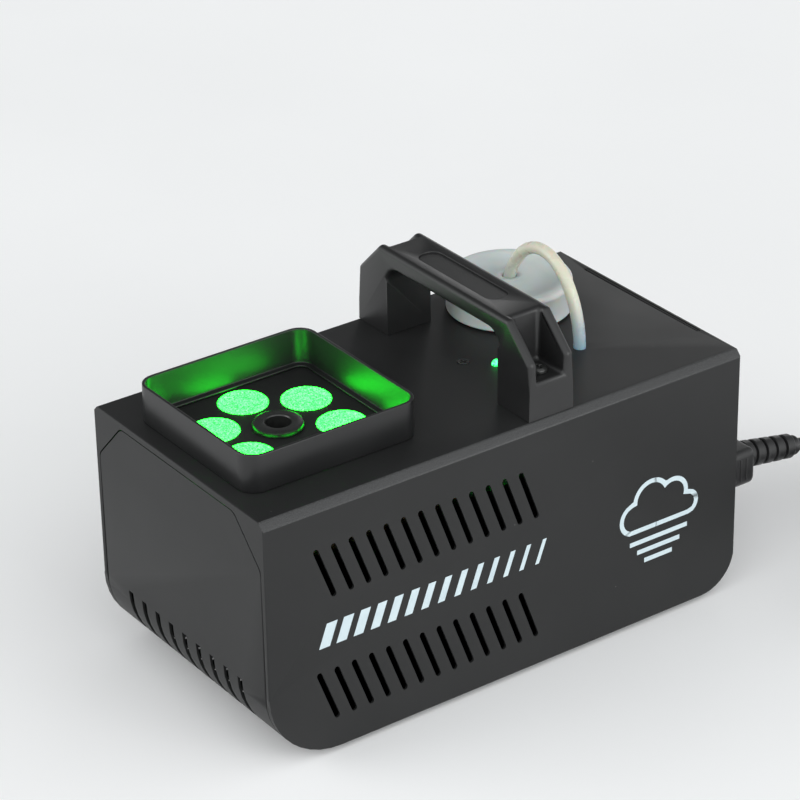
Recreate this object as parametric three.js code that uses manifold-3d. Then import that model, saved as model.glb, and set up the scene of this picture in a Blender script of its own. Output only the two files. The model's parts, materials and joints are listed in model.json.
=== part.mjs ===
// A small vertical fog machine: a folded steel case with a ring of LEDs round an upright nozzle, a carrying
// handle across the top, a fluid tank whose cap stands through the top plate, and a coiled mains lead.
// Millimetres. +X is the right-hand side seen from the front, +Y the rear, +Z up. The origin is under the
// middle of the machine, on the surface that its feet stand on.
import * as THREE from 'three';
import { mergeVertices } from 'three/addons/utils/BufferGeometryUtils.js';
import Module from 'manifold-3d';

const wasm = await Module();
wasm.setup();

// ---- Case ----
const BODY_LENGTH = 270;
const BODY_WIDTH = 140;
const BODY_HEIGHT = 127.5;
const SHEET = 1.2;
const EDGE_CHAMFER = 3.5;
const FRONT_RADIUS = 38;
const REAR_RADIUS = 20;
const FOOT_HEIGHT = 3;
const FOOT_RADIUS = 8;
const FOOT_SCREW = 3.6;
const FOOT_TO_SIDE = 20;
const FOOT_TO_FRONT = 52;
const FOOT_TO_REAR = 35;
const REAR_PROUD = 8;
const CLEAR = 0.3;
const SEAT = 0.2;

const FRONT = -(BODY_LENGTH + REAR_PROUD) / 2;
const REAR = FRONT + BODY_LENGTH;
const SIDE = BODY_WIDTH / 2;
const BASE = FOOT_HEIGHT;
const TOP = BASE + BODY_HEIGHT;
const FLOOR = BASE + SHEET + SEAT;
const UNDER_TOP = TOP - SHEET - SEAT;
const REAR_INNER = REAR - SHEET - SEAT;

// ---- Seam between the cover and the chassis ----
const SEAM = 0.5;
const SIDE_LIP = 3.2;
const TOP_LIP = 3.6;
const CORNER_RUN = 20;
const CORNER_DROP = 21;
const CORNER_ROUND = 6;
const CHASSIS_FLANGE = 12;
const TAB_SIDE_GAP = 27.5;
const TAB_SETBACK = 3.2;
const TAB_DEPTH = 8;
const TAB_HALF = SIDE - TAB_SIDE_GAP;

// ---- Vents ----
const SLOT_WIDTH = 2.9;
const SLOT_LENGTH = 28.6;
const SLOT_LEAN = THREE.MathUtils.degToRad(20.3);
const SLOT_PITCH = 9.4;
const SLOT_COUNT = 13;
const SLOT_START = 31.3;
const SLOT_ROWS = [28.8, 92.5];
const FRONT_SLOT_WIDTH = 3.8;
const FRONT_SLOT_PITCH = 11.5;
const FRONT_SLOT_COUNT = 9;

// ---- Light hood, LEDs and nozzle ----
const HOOD_WALL = 1.6;
const HOOD_HEIGHT = 19;
const HOOD_CORNER = 9;
const HOOD_SETBACK = 55.2;
const HOOD_FLANGE = 3;
const LENS_COUNT = 6;
const LENS_CIRCLE = 29;
const LENS_RADIUS = 11.7;
const LENS_HEIGHT = 13.1;
const LENS_TO_WALL = 4.2;
const LED_BOARD_RIM = 12;
const LED_BOARD_BORE = 15;
const LED_POST_RADIUS = 3;
const LED_BOARD_THICK = 1.6;
const LED_PLATE_THICK = 2;
const NOZZLE_FLANGE = 11.9;
const NOZZLE_NECK = 8.6;
const NOZZLE_BORE = 6;
const NOZZLE_PROUD = 2.7;
const NOZZLE_DEPTH = 22;
const JET_RADIUS = 2;
const PIPE_STOP = 10;
const PIPE_RADIUS = 4.5;
const PIPE_BORE = 1.8;
const HOOD_Y = FRONT + HOOD_SETBACK;
const HOOD_HALF = LENS_CIRCLE + LENS_RADIUS + LENS_TO_WALL + HOOD_WALL;
const LED_BOARD_RADIUS = LENS_CIRCLE + LED_BOARD_RIM;

// ---- Tank, cap and hose ----
const CAP_RADIUS = 30.6;
const CAP_HEIGHT = 16.9;
const CAP_WALL = 3.4;
const CAP_LIFT_GAP = 0.8;
const CAP_BEVEL = 2;
const CAP_TO_SIDE = 36.8;
const CAP_TO_REAR = 58.1;
const NECK_WALL = 2;
const LINER_THICK = 1.7;
const TANK_WALL = 1.8;
const TANK_WIDTH = 62;
const TANK_DEPTH = 54;
const TANK_SHOULDER = 10;
const TANK_CORNER = 8;
const HOSE_RADIUS = 3;
const HOSE_X = 21.4;
const CAP_X = CAP_TO_SIDE - SIDE;
const CAP_Y = REAR - CAP_TO_REAR;
const NECK_RADIUS = CAP_RADIUS - CAP_WALL - CLEAR;
const NECK_TOP = TOP + CAP_HEIGHT - CAP_WALL - LINER_THICK;
const TANK_TRAY = FLOOR + SHEET;

// ---- Handle ----
const HANDLE_SETBACK = 3.5;
const HANDLE_DEPTH = 25.4;
const HANDLE_HEIGHT = 45;
const HANDLE_BAR = 8.7;
const HANDLE_CHAMFER = 16.8;
const HANDLE_LEG = 23.5;
const HANDLE_INNER_ROUND = 8;
const HANDLE_TO_CAP = 9.1;
const POCKET_LENGTH = 19.5;
const POCKET_WIDTH = 15.5;
const POCKET_FLOOR = 18.5;
const RECESS_HALF = 30;
const RECESS_WIDTH = 12.4;
const RECESS_DEPTH = 0.8;
const SCREW_SETBACK = 9.5;
const SCREW_RADIUS = 2;
const BRACE_DEPTH = 14;
const HANDLE_Y = CAP_Y - CAP_RADIUS - HANDLE_TO_CAP - HANDLE_DEPTH / 2;
const HANDLE_HALF_SPAN = SIDE - HANDLE_SETBACK;
const HANDLE_LEG_INSIDE = HANDLE_HALF_SPAN - HANDLE_LEG;
const POCKET_INSIDE = HANDLE_HALF_SPAN - POCKET_LENGTH;
const HANDLE_SCREW_X = HANDLE_HALF_SPAN - SCREW_SETBACK;
const STATUS_LED_PLACE = [11.5, HANDLE_Y + 10.9];
const STATUS_LED_RADIUS = 2.4;

// ---- Heater ----
const HEATER_WIDTH = 40;
const HEATER_HEIGHT = 38;
const HEATER_SETBACK = 26;
const HEATER_LENGTH = 96;
const HEATER_BASE = 46;
const JACKET_WALL = 6;
const STRAP_THICK = 0.8;
const STRAP_WIDTH = 8;
const STRAP_REAR_INSET = 6;
const THERMOSTAT_RADIUS = 7.6;
const THERMOSTAT_ALONG = 68;

// ---- Pump ----
const PUMP_RISE = 27;
const COIL_HALF = 17.5;
const COIL_THICK = 31;
const CORE_HALF = 38;
const CORE_RADIUS = 6;
const PLUNGER_RADIUS = 4;
const PLUNGER_LENGTH = 24;
const YOKE = 2;
const BARB_RADIUS = 2.4;
const BARB_LENGTH = 7;
const BARB_BORE = 1.2;
const FEED_RADIUS = 2;

// ---- Rear panel ----
const PANEL_RISE = 48.5;
const INLET_X = 39.5;
const INLET_SIZE = [27.4, 20.2];
const INLET_DEPTH = 16;
const INLET_FLANGE = 2.5;
const INLET_PINS = [[-7, 2], [0, -2], [7, 2]];
const PIN_HALF = [1, 2];
const SWITCH_X = 8;
const SWITCH_SIZE = [12.8, 19];
const ROCKER_TILT = THREE.MathUtils.degToRad(8);
const FUSE_X = -16;
const FUSE_RADIUS = 6.2;
const BUTTON_X = -42;
const BUTTON_RADIUS = 6;
const BUTTON_PROUD = 4;
const PANEL_Z = BASE + PANEL_RISE;

// ---- Mains lead ----
const CORD_RADIUS = 3.25;
const RELIEF_LENGTH = 40;
const RELIEF_DROOP = THREE.MathUtils.degToRad(10);
const RELIEF_START = REAR + 26;
const COIL_CENTRE = [98, 246];
const COIL_OUTER_TURN = 43;
const COIL_TURNS_WIDE = 3;
const COIL_TURNS_HIGH = 2;
const TIE_THICK = 0.9;
const TIE_WIDTH = 10;
const PLUG_PLACE = [147, 225];
const PLUG_WIDTH = 25;
const PLUG_HEIGHT = 22;
const PLUG_RELIEF = 26;
const PLUG_BODY = 30;
const PLUG_PIN = 18;
const COIL_BASE = TIE_THICK + CLEAR;
const COIL_INNER_EDGE = COIL_OUTER_TURN + CORD_RADIUS * (1 - 2 * COIL_TURNS_WIDE);
const COIL_OUTER_EDGE = COIL_OUTER_TURN + CORD_RADIUS;
const COIL_HEIGHT = 2 * CORD_RADIUS * COIL_TURNS_HIGH;

// ---- Finishes ----
const finish = (color, roughness, metalness) => new THREE.MeshStandardMaterial(
  { color, roughness, metalness });
const BLACK_POWDER_COAT = finish(0x242627, 0.62, 0.1);
const BLACK_PLASTIC = finish(0x18191a, 0.42, 0);
const BLACK_RUBBER = finish(0x141414, 0.85, 0);
const NOZZLE_BLACK = finish(0x1a1b1b, 0.5, 0.6);
const GREEN_LENS = finish(0x7dffa0, 0.15, 0);
const GREEN_LED = finish(0x2bff5a, 0.2, 0);
const BOARD_WHITE = finish(0xe8e8e2, 0.5, 0);
const BOARD_GREEN = finish(0x1f5b34, 0.5, 0);
const CAP_WHITE = finish(0xdfe6e2, 0.45, 0);
const TANK_MILKY = finish(0xe6ebe4, 0.4, 0);
const HOSE_MILKY = finish(0xd9dcc8, 0.35, 0);
const STEEL = finish(0x9a9da0, 0.4, 0.9);
const BLACK_STEEL = finish(0x1b1c1d, 0.45, 0.7);
const ALUMINIUM = finish(0xb9bcbf, 0.45, 0.9);
const BRASS = finish(0xb58a45, 0.35, 0.9);
const COPPER = finish(0xb06a3c, 0.35, 0.9);
const GLASS_WOOL = finish(0xc9a46a, 0.9, 0);
const RED_PLASTIC = finish(0x9c1515, 0.4, 0);

// ---- Solids from geometry ----
function signedVolume(positions, index) {
  const [a, b, c] = [new THREE.Vector3(), new THREE.Vector3(), new THREE.Vector3()];
  let total = 0;
  for (let i = 0; i < index.length; i += 3) {
    a.fromArray(positions, 3 * index[i]);
    b.fromArray(positions, 3 * index[i + 1]);
    c.fromArray(positions, 3 * index[i + 2]);
    total += a.dot(b.cross(c));
  }
  return total;
}

// A closed solid of a geometry, with its faces turned outwards and its flat slivers left out.
function solid(geometry) {
  const bare = geometry.clone();
  bare.deleteAttribute('normal');
  bare.deleteAttribute('uv');
  const welded = mergeVertices(bare, 1e-4);
  const all = Array.from(welded.index.array);
  const kept = [];
  for (let i = 0; i < all.length; i += 3) {
    const [a, b, c] = all.slice(i, i + 3);
    if (a !== b && b !== c && c !== a) kept.push(a, b, c);
  }
  const positions = welded.attributes.position.array;
  if (signedVolume(positions, kept) < 0) kept.reverse();
  return new wasm.Manifold(new wasm.Mesh({
    numProp: 3, vertProperties: new Float32Array(positions), triVerts: new Uint32Array(kept),
  }));
}

const join = (first, ...rest) => rest.reduce((whole, piece) => whole.add(piece), first);
const cut = (first, ...tools) => tools.reduce((whole, tool) => whole.subtract(tool), first);

function toGeometry(body) {
  const mesh = body.getMesh();
  const geometry = new THREE.BufferGeometry();
  geometry.setAttribute('position', new THREE.BufferAttribute(new Float32Array(mesh.vertProperties), 3));
  geometry.setIndex(new THREE.BufferAttribute(new Uint32Array(mesh.triVerts), 1));
  geometry.computeVertexNormals();
  return geometry;
}

// A closed outline through corners given as [x, y] or [x, y, radius].
function outline(corners) {
  const shape = new THREE.Shape();
  corners.forEach(([x, y, radius = 0], i) => {
    const corner = new THREE.Vector2(x, y);
    const [bx, by] = corners.at(i - 1);
    const [ax, ay] = corners[(i + 1) % corners.length];
    const back = new THREE.Vector2(bx, by).sub(corner).normalize();
    const ahead = new THREE.Vector2(ax, ay).sub(corner).normalize();
    const turn = Math.PI - Math.acos(THREE.MathUtils.clamp(back.dot(ahead), -1, 1));
    const reach = radius * Math.tan(turn / 2);
    const pull = reach - (4 / 3) * Math.tan(turn / 4) * radius;
    const at = (direction, distance) => corner.clone().addScaledVector(direction, distance);
    const [start, first, second, end] = [at(back, reach), at(back, pull), at(ahead, pull), at(ahead, reach)];
    if (i === 0) shape.moveTo(start.x, start.y);
    else shape.lineTo(start.x, start.y);
    if (radius > 0) shape.bezierCurveTo(first.x, first.y, second.x, second.y, end.x, end.y);
  });
  shape.closePath();
  return shape;
}

const rectangle = (x0, x1, y0, y1, radius = 0) => outline(
  [[x0, y0, radius], [x1, y0, radius], [x1, y1, radius], [x0, y1, radius]]);

const AXIS_TURNS = {
  x: new THREE.Matrix4().set(0, 0, 1, 0, 1, 0, 0, 0, 0, 1, 0, 0, 0, 0, 0, 1),
  y: new THREE.Matrix4().set(1, 0, 0, 0, 0, 0, -1, 0, 0, 1, 0, 0, 0, 0, 0, 1),
  z: new THREE.Matrix4(),
};

// An outline in the plane across an axis (YZ, XZ or XY), drawn out along that axis between two places.
function prism(axis, shape, from, to, curveSegments = 6) {
  const depth = to - from;
  const geometry = new THREE.ExtrudeGeometry(shape, { depth, bevelEnabled: false, curveSegments });
  geometry.applyMatrix4(AXIS_TURNS[axis]);
  geometry.translate(axis === 'x' ? from : 0, axis === 'y' ? to : 0, axis === 'z' ? from : 0);
  return solid(geometry);
}

function box(x0, x1, y0, y1, z0, z1) {
  const geometry = new THREE.BoxGeometry(x1 - x0, y1 - y0, z1 - z0);
  return solid(geometry.translate((x0 + x1) / 2, (y0 + y1) / 2, (z0 + z1) / 2));
}

// A profile of [radius, height] points turned about an axis through a centre.
function turned(profile, segments = 32, axis = 'z', centre = [0, 0, 0]) {
  const closed = profile[0][0] > 0;
  const points = [...profile, ...(closed ? [profile[0]] : [])].map(([r, h]) => new THREE.Vector2(r, h));
  const geometry = new THREE.LatheGeometry(points, segments);
  geometry.rotateX(Math.PI / 2);
  if (axis === 'x') geometry.rotateY(Math.PI / 2);
  if (axis === 'y') geometry.rotateX(-Math.PI / 2);
  return solid(geometry.translate(...centre));
}

const disc = (radius, from, to, segments = 32, axis = 'z', centre = [0, 0, 0]) => turned(
  [[0, from], [radius, from], [radius, to], [0, to]], segments, axis, centre);

// A round bar along a smooth curve through points.
function bar(points, radius, sides, steps) {
  const section = new THREE.Shape();
  for (let i = 0; i < sides; i += 1) {
    const angle = (2 * Math.PI * i) / sides;
    section[i ? 'lineTo' : 'moveTo'](radius * Math.cos(angle), radius * Math.sin(angle));
  }
  const through = points.map((point) => new THREE.Vector3(...point));
  const extrudePath = new THREE.CatmullRomCurve3(through, false, 'centripetal');
  return solid(new THREE.ExtrudeGeometry(section, { steps, bevelEnabled: false, extrudePath }));
}

function mesh(name, body, material, position = [0, 0, 0], rotation = [0, 0, 0]) {
  const made = new THREE.Mesh(toGeometry(body), material);
  made.name = name;
  made.position.set(...position);
  made.rotation.set(...rotation);
  return made;
}

// ---- Case ----
// The outside shape of the case, made smaller all round by an inset.
function envelope(inset) {
  const [side, base, top] = [SIDE - inset, BASE + inset, TOP - inset];
  const chamfer = EDGE_CHAMFER + inset * (Math.SQRT2 - 1) - inset;
  const across = outline([
    [-side, base], [side, base], [side, top - chamfer], [side - chamfer, top],
    [chamfer - side, top], [-side, top - chamfer],
  ]);
  const [front, rear] = [FRONT + inset, REAR - inset];
  const along = outline([
    [front, base, FRONT_RADIUS - inset], [rear, base, REAR_RADIUS - inset], [rear, top], [front, top],
  ]);
  return prism('y', across, FRONT - 1, REAR + 1).intersect(prism('x', along, -SIDE - 1, SIDE + 1, 10));
}

// The line of the seam, seen from the front, made smaller by an inset.
function seamPrism(inset) {
  const side = SIDE - SIDE_LIP - inset;
  const top = TOP - TOP_LIP - inset;
  return prism('y', outline([
    [-side, -BASE], [side, -BASE], [side, top - CORNER_DROP, CORNER_ROUND],
    [side - CORNER_RUN, top, CORNER_ROUND], [CORNER_RUN - side, top, CORNER_ROUND],
    [-side, top - CORNER_DROP, CORNER_ROUND],
  ]), FRONT - 2, REAR + 2);
}

function lensCentres() {
  return Array.from({ length: LENS_COUNT }, (_, i) => {
    const angle = (2 * Math.PI * i) / LENS_COUNT;
    return [LENS_CIRCLE * Math.cos(angle), HOOD_Y + LENS_CIRCLE * Math.sin(angle)];
  });
}

function sideSlots() {
  const slots = [];
  for (const rise of SLOT_ROWS) {
    for (let i = 0; i < SLOT_COUNT; i += 1) {
      const half = SLOT_LENGTH / 2;
      const slot = new THREE.ExtrudeGeometry(
        rectangle(-SLOT_WIDTH / 2, SLOT_WIDTH / 2, -half, half, SLOT_WIDTH / 2 - 0.01),
        { depth: BODY_WIDTH + 2, bevelEnabled: false, curveSegments: 2 });
      slot.rotateZ(SLOT_LEAN).applyMatrix4(AXIS_TURNS.x);
      slots.push(solid(slot.translate(-SIDE - 1, FRONT + SLOT_START + i * SLOT_PITCH, BASE + rise)));
    }
  }
  return slots;
}

function topHoles() {
  const hole = (radius, x, y, segments = 16) => disc(radius, -10, 10, segments, 'z', [x, y, TOP]);
  const sink = turned([
    [0, -SHEET - 1], [2.1, -SHEET - 1], [2.1, -SHEET], [3.5, 0.2], [0, 0.2],
  ], 20, 'z', [0, HANDLE_Y, TOP]);
  return [
    hole(NOZZLE_NECK + CLEAR, 0, HOOD_Y, 24),
    ...lensCentres().map(([x, y]) => hole(LENS_RADIUS + CLEAR, x, y, 24)),
    hole(NECK_RADIUS + 3 * CLEAR, CAP_X, CAP_Y, 40),
    hole(HOSE_RADIUS + CLEAR, HOSE_X, CAP_Y, 16),
    hole(SCREW_RADIUS + CLEAR, -HANDLE_SCREW_X, HANDLE_Y),
    hole(SCREW_RADIUS + CLEAR, HANDLE_SCREW_X, HANDLE_Y),
    hole(STATUS_LED_RADIUS + CLEAR, ...STATUS_LED_PLACE, 16),
    sink,
    box(-TAB_HALF - CLEAR, TAB_HALF + CLEAR, REAR - TAB_SETBACK - 2 * CLEAR,
      REAR - TAB_SETBACK + SHEET + CLEAR, TOP - SHEET - 1, TOP + 1),
  ];
}

function topCover() {
  const shell = cut(envelope(0), envelope(SHEET));
  const cover = cut(shell, seamPrism(-SEAM / 2), ...sideSlots(), ...topHoles());
  return mesh('top_cover', cover, BLACK_POWDER_COAT);
}

function frontSlots() {
  return Array.from({ length: FRONT_SLOT_COUNT }, (_, i) => {
    const x = (i - (FRONT_SLOT_COUNT - 1) / 2) * FRONT_SLOT_PITCH;
    return box(x - FRONT_SLOT_WIDTH / 2, x + FRONT_SLOT_WIDTH / 2, FRONT - 1, FRONT + FRONT_RADIUS - 3,
      BASE - 1, BASE + FRONT_RADIUS);
  });
}

function rearCutouts() {
  const opening = ([width, height], x) => {
    const [across, up] = [width / 2 + CLEAR, height / 2 + CLEAR];
    return box(x - across, x + across, REAR - 10, REAR + 10, PANEL_Z - up, PANEL_Z + up);
  };
  const round = (radius, x) => disc(radius + CLEAR, -10, 10, 24, 'y', [x, REAR, PANEL_Z]);
  return [
    opening(INLET_SIZE, INLET_X), opening(SWITCH_SIZE, SWITCH_X), round(FUSE_RADIUS, FUSE_X),
    round(BUTTON_RADIUS + 2, BUTTON_X),
  ];
}

function chassis() {
  const wrap = cut(envelope(0), envelope(SHEET)).intersect(seamPrism(SEAM / 2));
  const side = SIDE - SIDE_LIP - SEAM / 2;
  const [from, to] = [FRONT + FRONT_RADIUS, REAR - REAR_RADIUS];
  const flange = (x0, x1) => box(x0, x1, from, to, BASE + SHEET / 2, BASE + CHASSIS_FLANGE);
  const [tabFront, tabFoot] = [REAR - TAB_SETBACK, TOP - TAB_DEPTH];
  const tab = join(
    box(-TAB_HALF, TAB_HALF, tabFront, tabFront + SHEET - CLEAR, tabFoot, TOP),
    box(-TAB_HALF, TAB_HALF, tabFront, REAR - SHEET / 2, tabFoot - SHEET, tabFoot + SHEET / 2),
  );
  const whole = join(wrap, flange(side - SHEET, side), flange(-side, SHEET - side), tab);
  return mesh('chassis', cut(whole, ...frontSlots(), ...rearCutouts()), BLACK_POWDER_COAT);
}

function feet() {
  const profile = [
    [0, FOOT_HEIGHT - SEAT], [FOOT_RADIUS + 0.8, FOOT_HEIGHT - SEAT], [FOOT_RADIUS, 0], [FOOT_SCREW, 0],
    [FOOT_SCREW, FOOT_HEIGHT - 1.2], [0, FOOT_HEIGHT - 1.2],
  ];
  const [x, front, rear] = [SIDE - FOOT_TO_SIDE, FRONT + FOOT_TO_FRONT, REAR - FOOT_TO_REAR];
  const places = [
    ['front_left', -x, front], ['front_right', x, front], ['rear_left', -x, rear], ['rear_right', x, rear],
  ];
  return places.map(([name, ...place]) => (
    mesh(`foot_${name}`, turned(profile, 16), BLACK_RUBBER, [...place, 0])));
}

// ---- Light hood, LEDs and nozzle ----
function lightHood() {
  const ring = (inset, from, to) => {
    const half = HOOD_HALF - inset;
    return prism('z', rectangle(-half, half, -half, half, HOOD_CORNER - inset), from, to, 7);
  };
  const wall = cut(ring(0, SEAT, HOOD_HEIGHT), ring(HOOD_WALL, -1, HOOD_HEIGHT + 1));
  const flange = cut(ring(HOOD_WALL / 2, SEAT, SEAT + SHEET),
    ring(HOOD_WALL + HOOD_FLANGE, -1, HOOD_HEIGHT));
  return mesh('light_hood', join(wall, flange), BLACK_POWDER_COAT, [0, HOOD_Y, TOP]);
}

// Each lens is a cone over the LED in its foot, with a flat rim in the top plate's hole.
function lenses() {
  const profile = [
    [0, 2.6], [2.8, 2.6], [2.8, 0], [5.4, 0], [LENS_RADIUS, LENS_HEIGHT - 3.9], [LENS_RADIUS, LENS_HEIGHT],
    [0, LENS_HEIGHT + 0.4],
  ];
  return lensCentres().map(([x, y], i) => mesh(`led_lens_${i + 1}`, turned(profile, 24), GREEN_LENS,
    [x, y, TOP - LENS_HEIGHT + CLEAR]));
}

const LED_BOARD_TOP = TOP - LENS_HEIGHT;

function ledBoard() {
  const [low, high] = [LED_BOARD_TOP - LED_BOARD_THICK, LED_BOARD_TOP];
  const plate = turned([
    [LED_BOARD_BORE, low], [LED_BOARD_RADIUS, low], [LED_BOARD_RADIUS, high], [LED_BOARD_BORE, high],
  ], 36, 'z', [0, HOOD_Y, 0]);
  const dome = [[0, -0.4], [2.3, -0.4], [2.3, 0.8], [1.4, 1.7], [0, 2.1]];
  const emitters = lensCentres().map(([x, y]) => turned(dome, 10, 'z', [x, y, high]));
  return mesh('led_board', join(plate, ...emitters), BOARD_WHITE);
}

// The heat-spreading plate under the board, hung from the top plate by four posts.
function ledPlate() {
  const high = LED_BOARD_TOP - LED_BOARD_THICK - SEAT;
  const low = high - LED_PLATE_THICK;
  const half = HOOD_HALF + 1;
  const plate = prism('z', rectangle(-half, half, HOOD_Y - half, HOOD_Y + half, 4), low, high, 3);
  const corner = half - LED_POST_RADIUS - 1;
  const posts = [[-1, -1], [1, -1], [1, 1], [-1, 1]].map(([i, j]) => (
    disc(LED_POST_RADIUS, low, UNDER_TOP, 12, 'z', [i * corner, HOOD_Y + j * corner, 0])));
  const bore = disc(LED_BOARD_BORE, low - 1, high + 1, 24, 'z', [0, HOOD_Y, 0]);
  return mesh('led_heat_plate', cut(join(plate, ...posts), bore), ALUMINIUM);
}

function nozzle() {
  const [socket, stop] = [PIPE_RADIUS + CLEAR, -PIPE_STOP];
  const profile = [
    [NOZZLE_BORE, NOZZLE_PROUD], [NOZZLE_FLANGE - 0.7, NOZZLE_PROUD], [NOZZLE_FLANGE, NOZZLE_PROUD - 0.7],
    [NOZZLE_FLANGE, SEAT], [NOZZLE_NECK, SEAT], [NOZZLE_NECK, -NOZZLE_DEPTH], [socket, -NOZZLE_DEPTH],
    [socket, stop], [JET_RADIUS, stop], [JET_RADIUS, stop + 4], [NOZZLE_BORE, stop + 5],
  ];
  return mesh('nozzle', turned(profile, 28), NOZZLE_BLACK, [0, HOOD_Y, TOP]);
}

// ---- Heater ----
const HEATER_FRONT = FRONT + HEATER_SETBACK;
const HEATER_REAR = HEATER_FRONT + HEATER_LENGTH;
const HEATER_LOW = BASE + HEATER_BASE;
const HEATER_HIGH = HEATER_LOW + HEATER_HEIGHT;
const HEATER_Z = (HEATER_LOW + HEATER_HIGH) / 2;
const JACKET = JACKET_WALL + CLEAR;
const FEED_X = -10;

const heaterBox = (grow) => box(-HEATER_WIDTH / 2 - grow, HEATER_WIDTH / 2 + grow, HEATER_FRONT - grow,
  HEATER_REAR + grow, HEATER_LOW - grow, HEATER_HIGH + grow);
const thermostatPlace = [HEATER_WIDTH / 2, HEATER_FRONT + THERMOSTAT_ALONG, HEATER_Z];

function heater() {
  const outlet = (radius, from, to) => disc(radius, from, to, 20, 'z', [0, HOOD_Y, 0]);
  const feed = (radius, from, to) => disc(radius, from, to, 16, 'y', [FEED_X, 0, HEATER_Z]);
  const block = cut(heaterBox(0), outlet(PIPE_RADIUS + CLEAR, HEATER_HIGH - 8, HEATER_HIGH + 1),
    feed(FEED_RADIUS + 2 * CLEAR, HEATER_REAR - 10, HEATER_REAR + 1));
  const jacket = cut(heaterBox(JACKET), heaterBox(CLEAR),
    outlet(PIPE_RADIUS + 1, HEATER_HIGH, HEATER_HIGH + 20),
    feed(FEED_RADIUS + 1, HEATER_REAR, HEATER_REAR + 20),
    disc(THERMOSTAT_RADIUS + CLEAR, 0, 20, 24, 'x', thermostatPlace));
  const [foot, head] = [HEATER_HIGH - 7.5, TOP - PIPE_STOP - CLEAR];
  const pipe = turned([
    [PIPE_BORE, foot], [PIPE_RADIUS, foot], [PIPE_RADIUS, head], [PIPE_BORE, head],
  ], 20, 'z', [0, HOOD_Y, 0]);
  return [
    mesh('heater_block', block, ALUMINIUM), mesh('heater_jacket', jacket, GLASS_WOOL),
    mesh('outlet_pipe', pipe, BRASS), thermostat(), ...straps(),
  ];
}

function thermostat() {
  const can = disc(THERMOSTAT_RADIUS, CLEAR, 9, 24, 'x');
  const blade = (y) => box(8, 15, y - 0.4, y + 0.4, -2.4, 2.4);
  return mesh('thermostat', join(can, blade(-4), blade(4)), BRASS, thermostatPlace);
}

// Two steel bands hold the jacket down on two folded stands.
function straps() {
  const half = HEATER_WIDTH / 2 + JACKET + CLEAR;
  const [low, high] = [HEATER_LOW - JACKET - CLEAR, HEATER_HIGH + JACKET + CLEAR];
  const outer = [-half - STRAP_THICK, half + STRAP_THICK, low - STRAP_THICK, high + STRAP_THICK, 1.5];
  const band = cut(prism('y', rectangle(...outer), 0, STRAP_WIDTH, 2),
    box(-half, half, -1, STRAP_WIDTH + 1, low, high));
  const standTop = low - STRAP_THICK - CLEAR;
  const [foot, leg] = [half - 2, half - 12];
  const stand = prism('y', outline([
    [-foot, FLOOR], [-leg + SHEET, FLOOR], [-leg + SHEET, standTop - SHEET], [leg - SHEET, standTop - SHEET],
    [leg - SHEET, FLOOR], [foot, FLOOR], [foot, FLOOR + SHEET], [leg, FLOOR + SHEET], [leg, standTop],
    [-leg, standTop], [-leg, FLOOR + SHEET], [-foot, FLOOR + SHEET],
  ]), -2, STRAP_WIDTH + 2);
  const ends = [['front', FRONT + FRONT_RADIUS + 4], ['rear', HEATER_REAR - STRAP_REAR_INSET - STRAP_WIDTH]];
  return ends.flatMap(([end, y]) => {
    const place = [0, y, 0];
    return [
      mesh(`heater_strap_${end}`, band, COPPER, place), mesh(`heater_stand_${end}`, stand, STEEL, place),
    ];
  });
}

// ---- Tank, cap and hose ----
function tank() {
  const [front, rear] = [CAP_Y - TANK_DEPTH / 2, CAP_Y + TANK_DEPTH / 2];
  const [left, right] = [CAP_X - TANK_WIDTH / 2, CAP_X + TANK_WIDTH / 2];
  const [low, high] = [TANK_TRAY + SEAT, TOP - TANK_SHOULDER];
  const hull = (inset) => {
    const plan = rectangle(left + inset, right - inset, front + inset, rear - inset, TANK_CORNER - inset);
    return prism('z', plan, low + inset, high - inset, 4);
  };
  const neck = (radius, from, to) => disc(radius, from, to, 40, 'z', [CAP_X, CAP_Y, 0]);
  const body = cut(join(hull(0), neck(NECK_RADIUS, high - 1, NECK_TOP)), hull(TANK_WALL),
    neck(NECK_RADIUS - NECK_WALL, high - 2 * TANK_WALL, NECK_TOP + 1));
  return mesh('fluid_tank', body, TANK_MILKY);
}

function tankTray() {
  const [front, rear] = [CAP_Y - TANK_DEPTH / 2 - CLEAR, CAP_Y + TANK_DEPTH / 2 + CLEAR];
  const section = outline([
    [front - SHEET, FLOOR], [rear + SHEET, FLOOR], [rear + SHEET, FLOOR + 14], [rear, FLOOR + 14],
    [rear, TANK_TRAY], [front, TANK_TRAY], [front, FLOOR + 14], [front - SHEET, FLOOR + 14],
  ]);
  const half = TANK_WIDTH / 2 - TANK_CORNER;
  return mesh('tank_tray', prism('x', section, CAP_X - half, CAP_X + half), STEEL);
}

function cap() {
  const hole = HOSE_RADIUS + 2 * CLEAR;
  const ceiling = CAP_HEIGHT - CAP_WALL + CLEAR;
  const profile = [
    [hole, ceiling], [CAP_RADIUS - CAP_WALL, ceiling], [CAP_RADIUS - CAP_WALL, CAP_LIFT_GAP],
    [CAP_RADIUS, CAP_LIFT_GAP], [CAP_RADIUS, CAP_HEIGHT - CAP_BEVEL], [CAP_RADIUS - CAP_BEVEL, CAP_HEIGHT],
    [hole, CAP_HEIGHT],
  ];
  const linerLow = CAP_HEIGHT - CAP_WALL - LINER_THICK + CLEAR;
  const liner = [[hole, linerLow], [NECK_RADIUS, linerLow], [NECK_RADIUS, ceiling - CLEAR],
    [hole, ceiling - CLEAR]];
  return [
    mesh('tank_cap', turned(profile, 48), CAP_WHITE, [CAP_X, CAP_Y, TOP]),
    mesh('cap_liner', turned(liner, 40), BLACK_RUBBER, [CAP_X, CAP_Y, TOP]),
  ];
}

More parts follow.
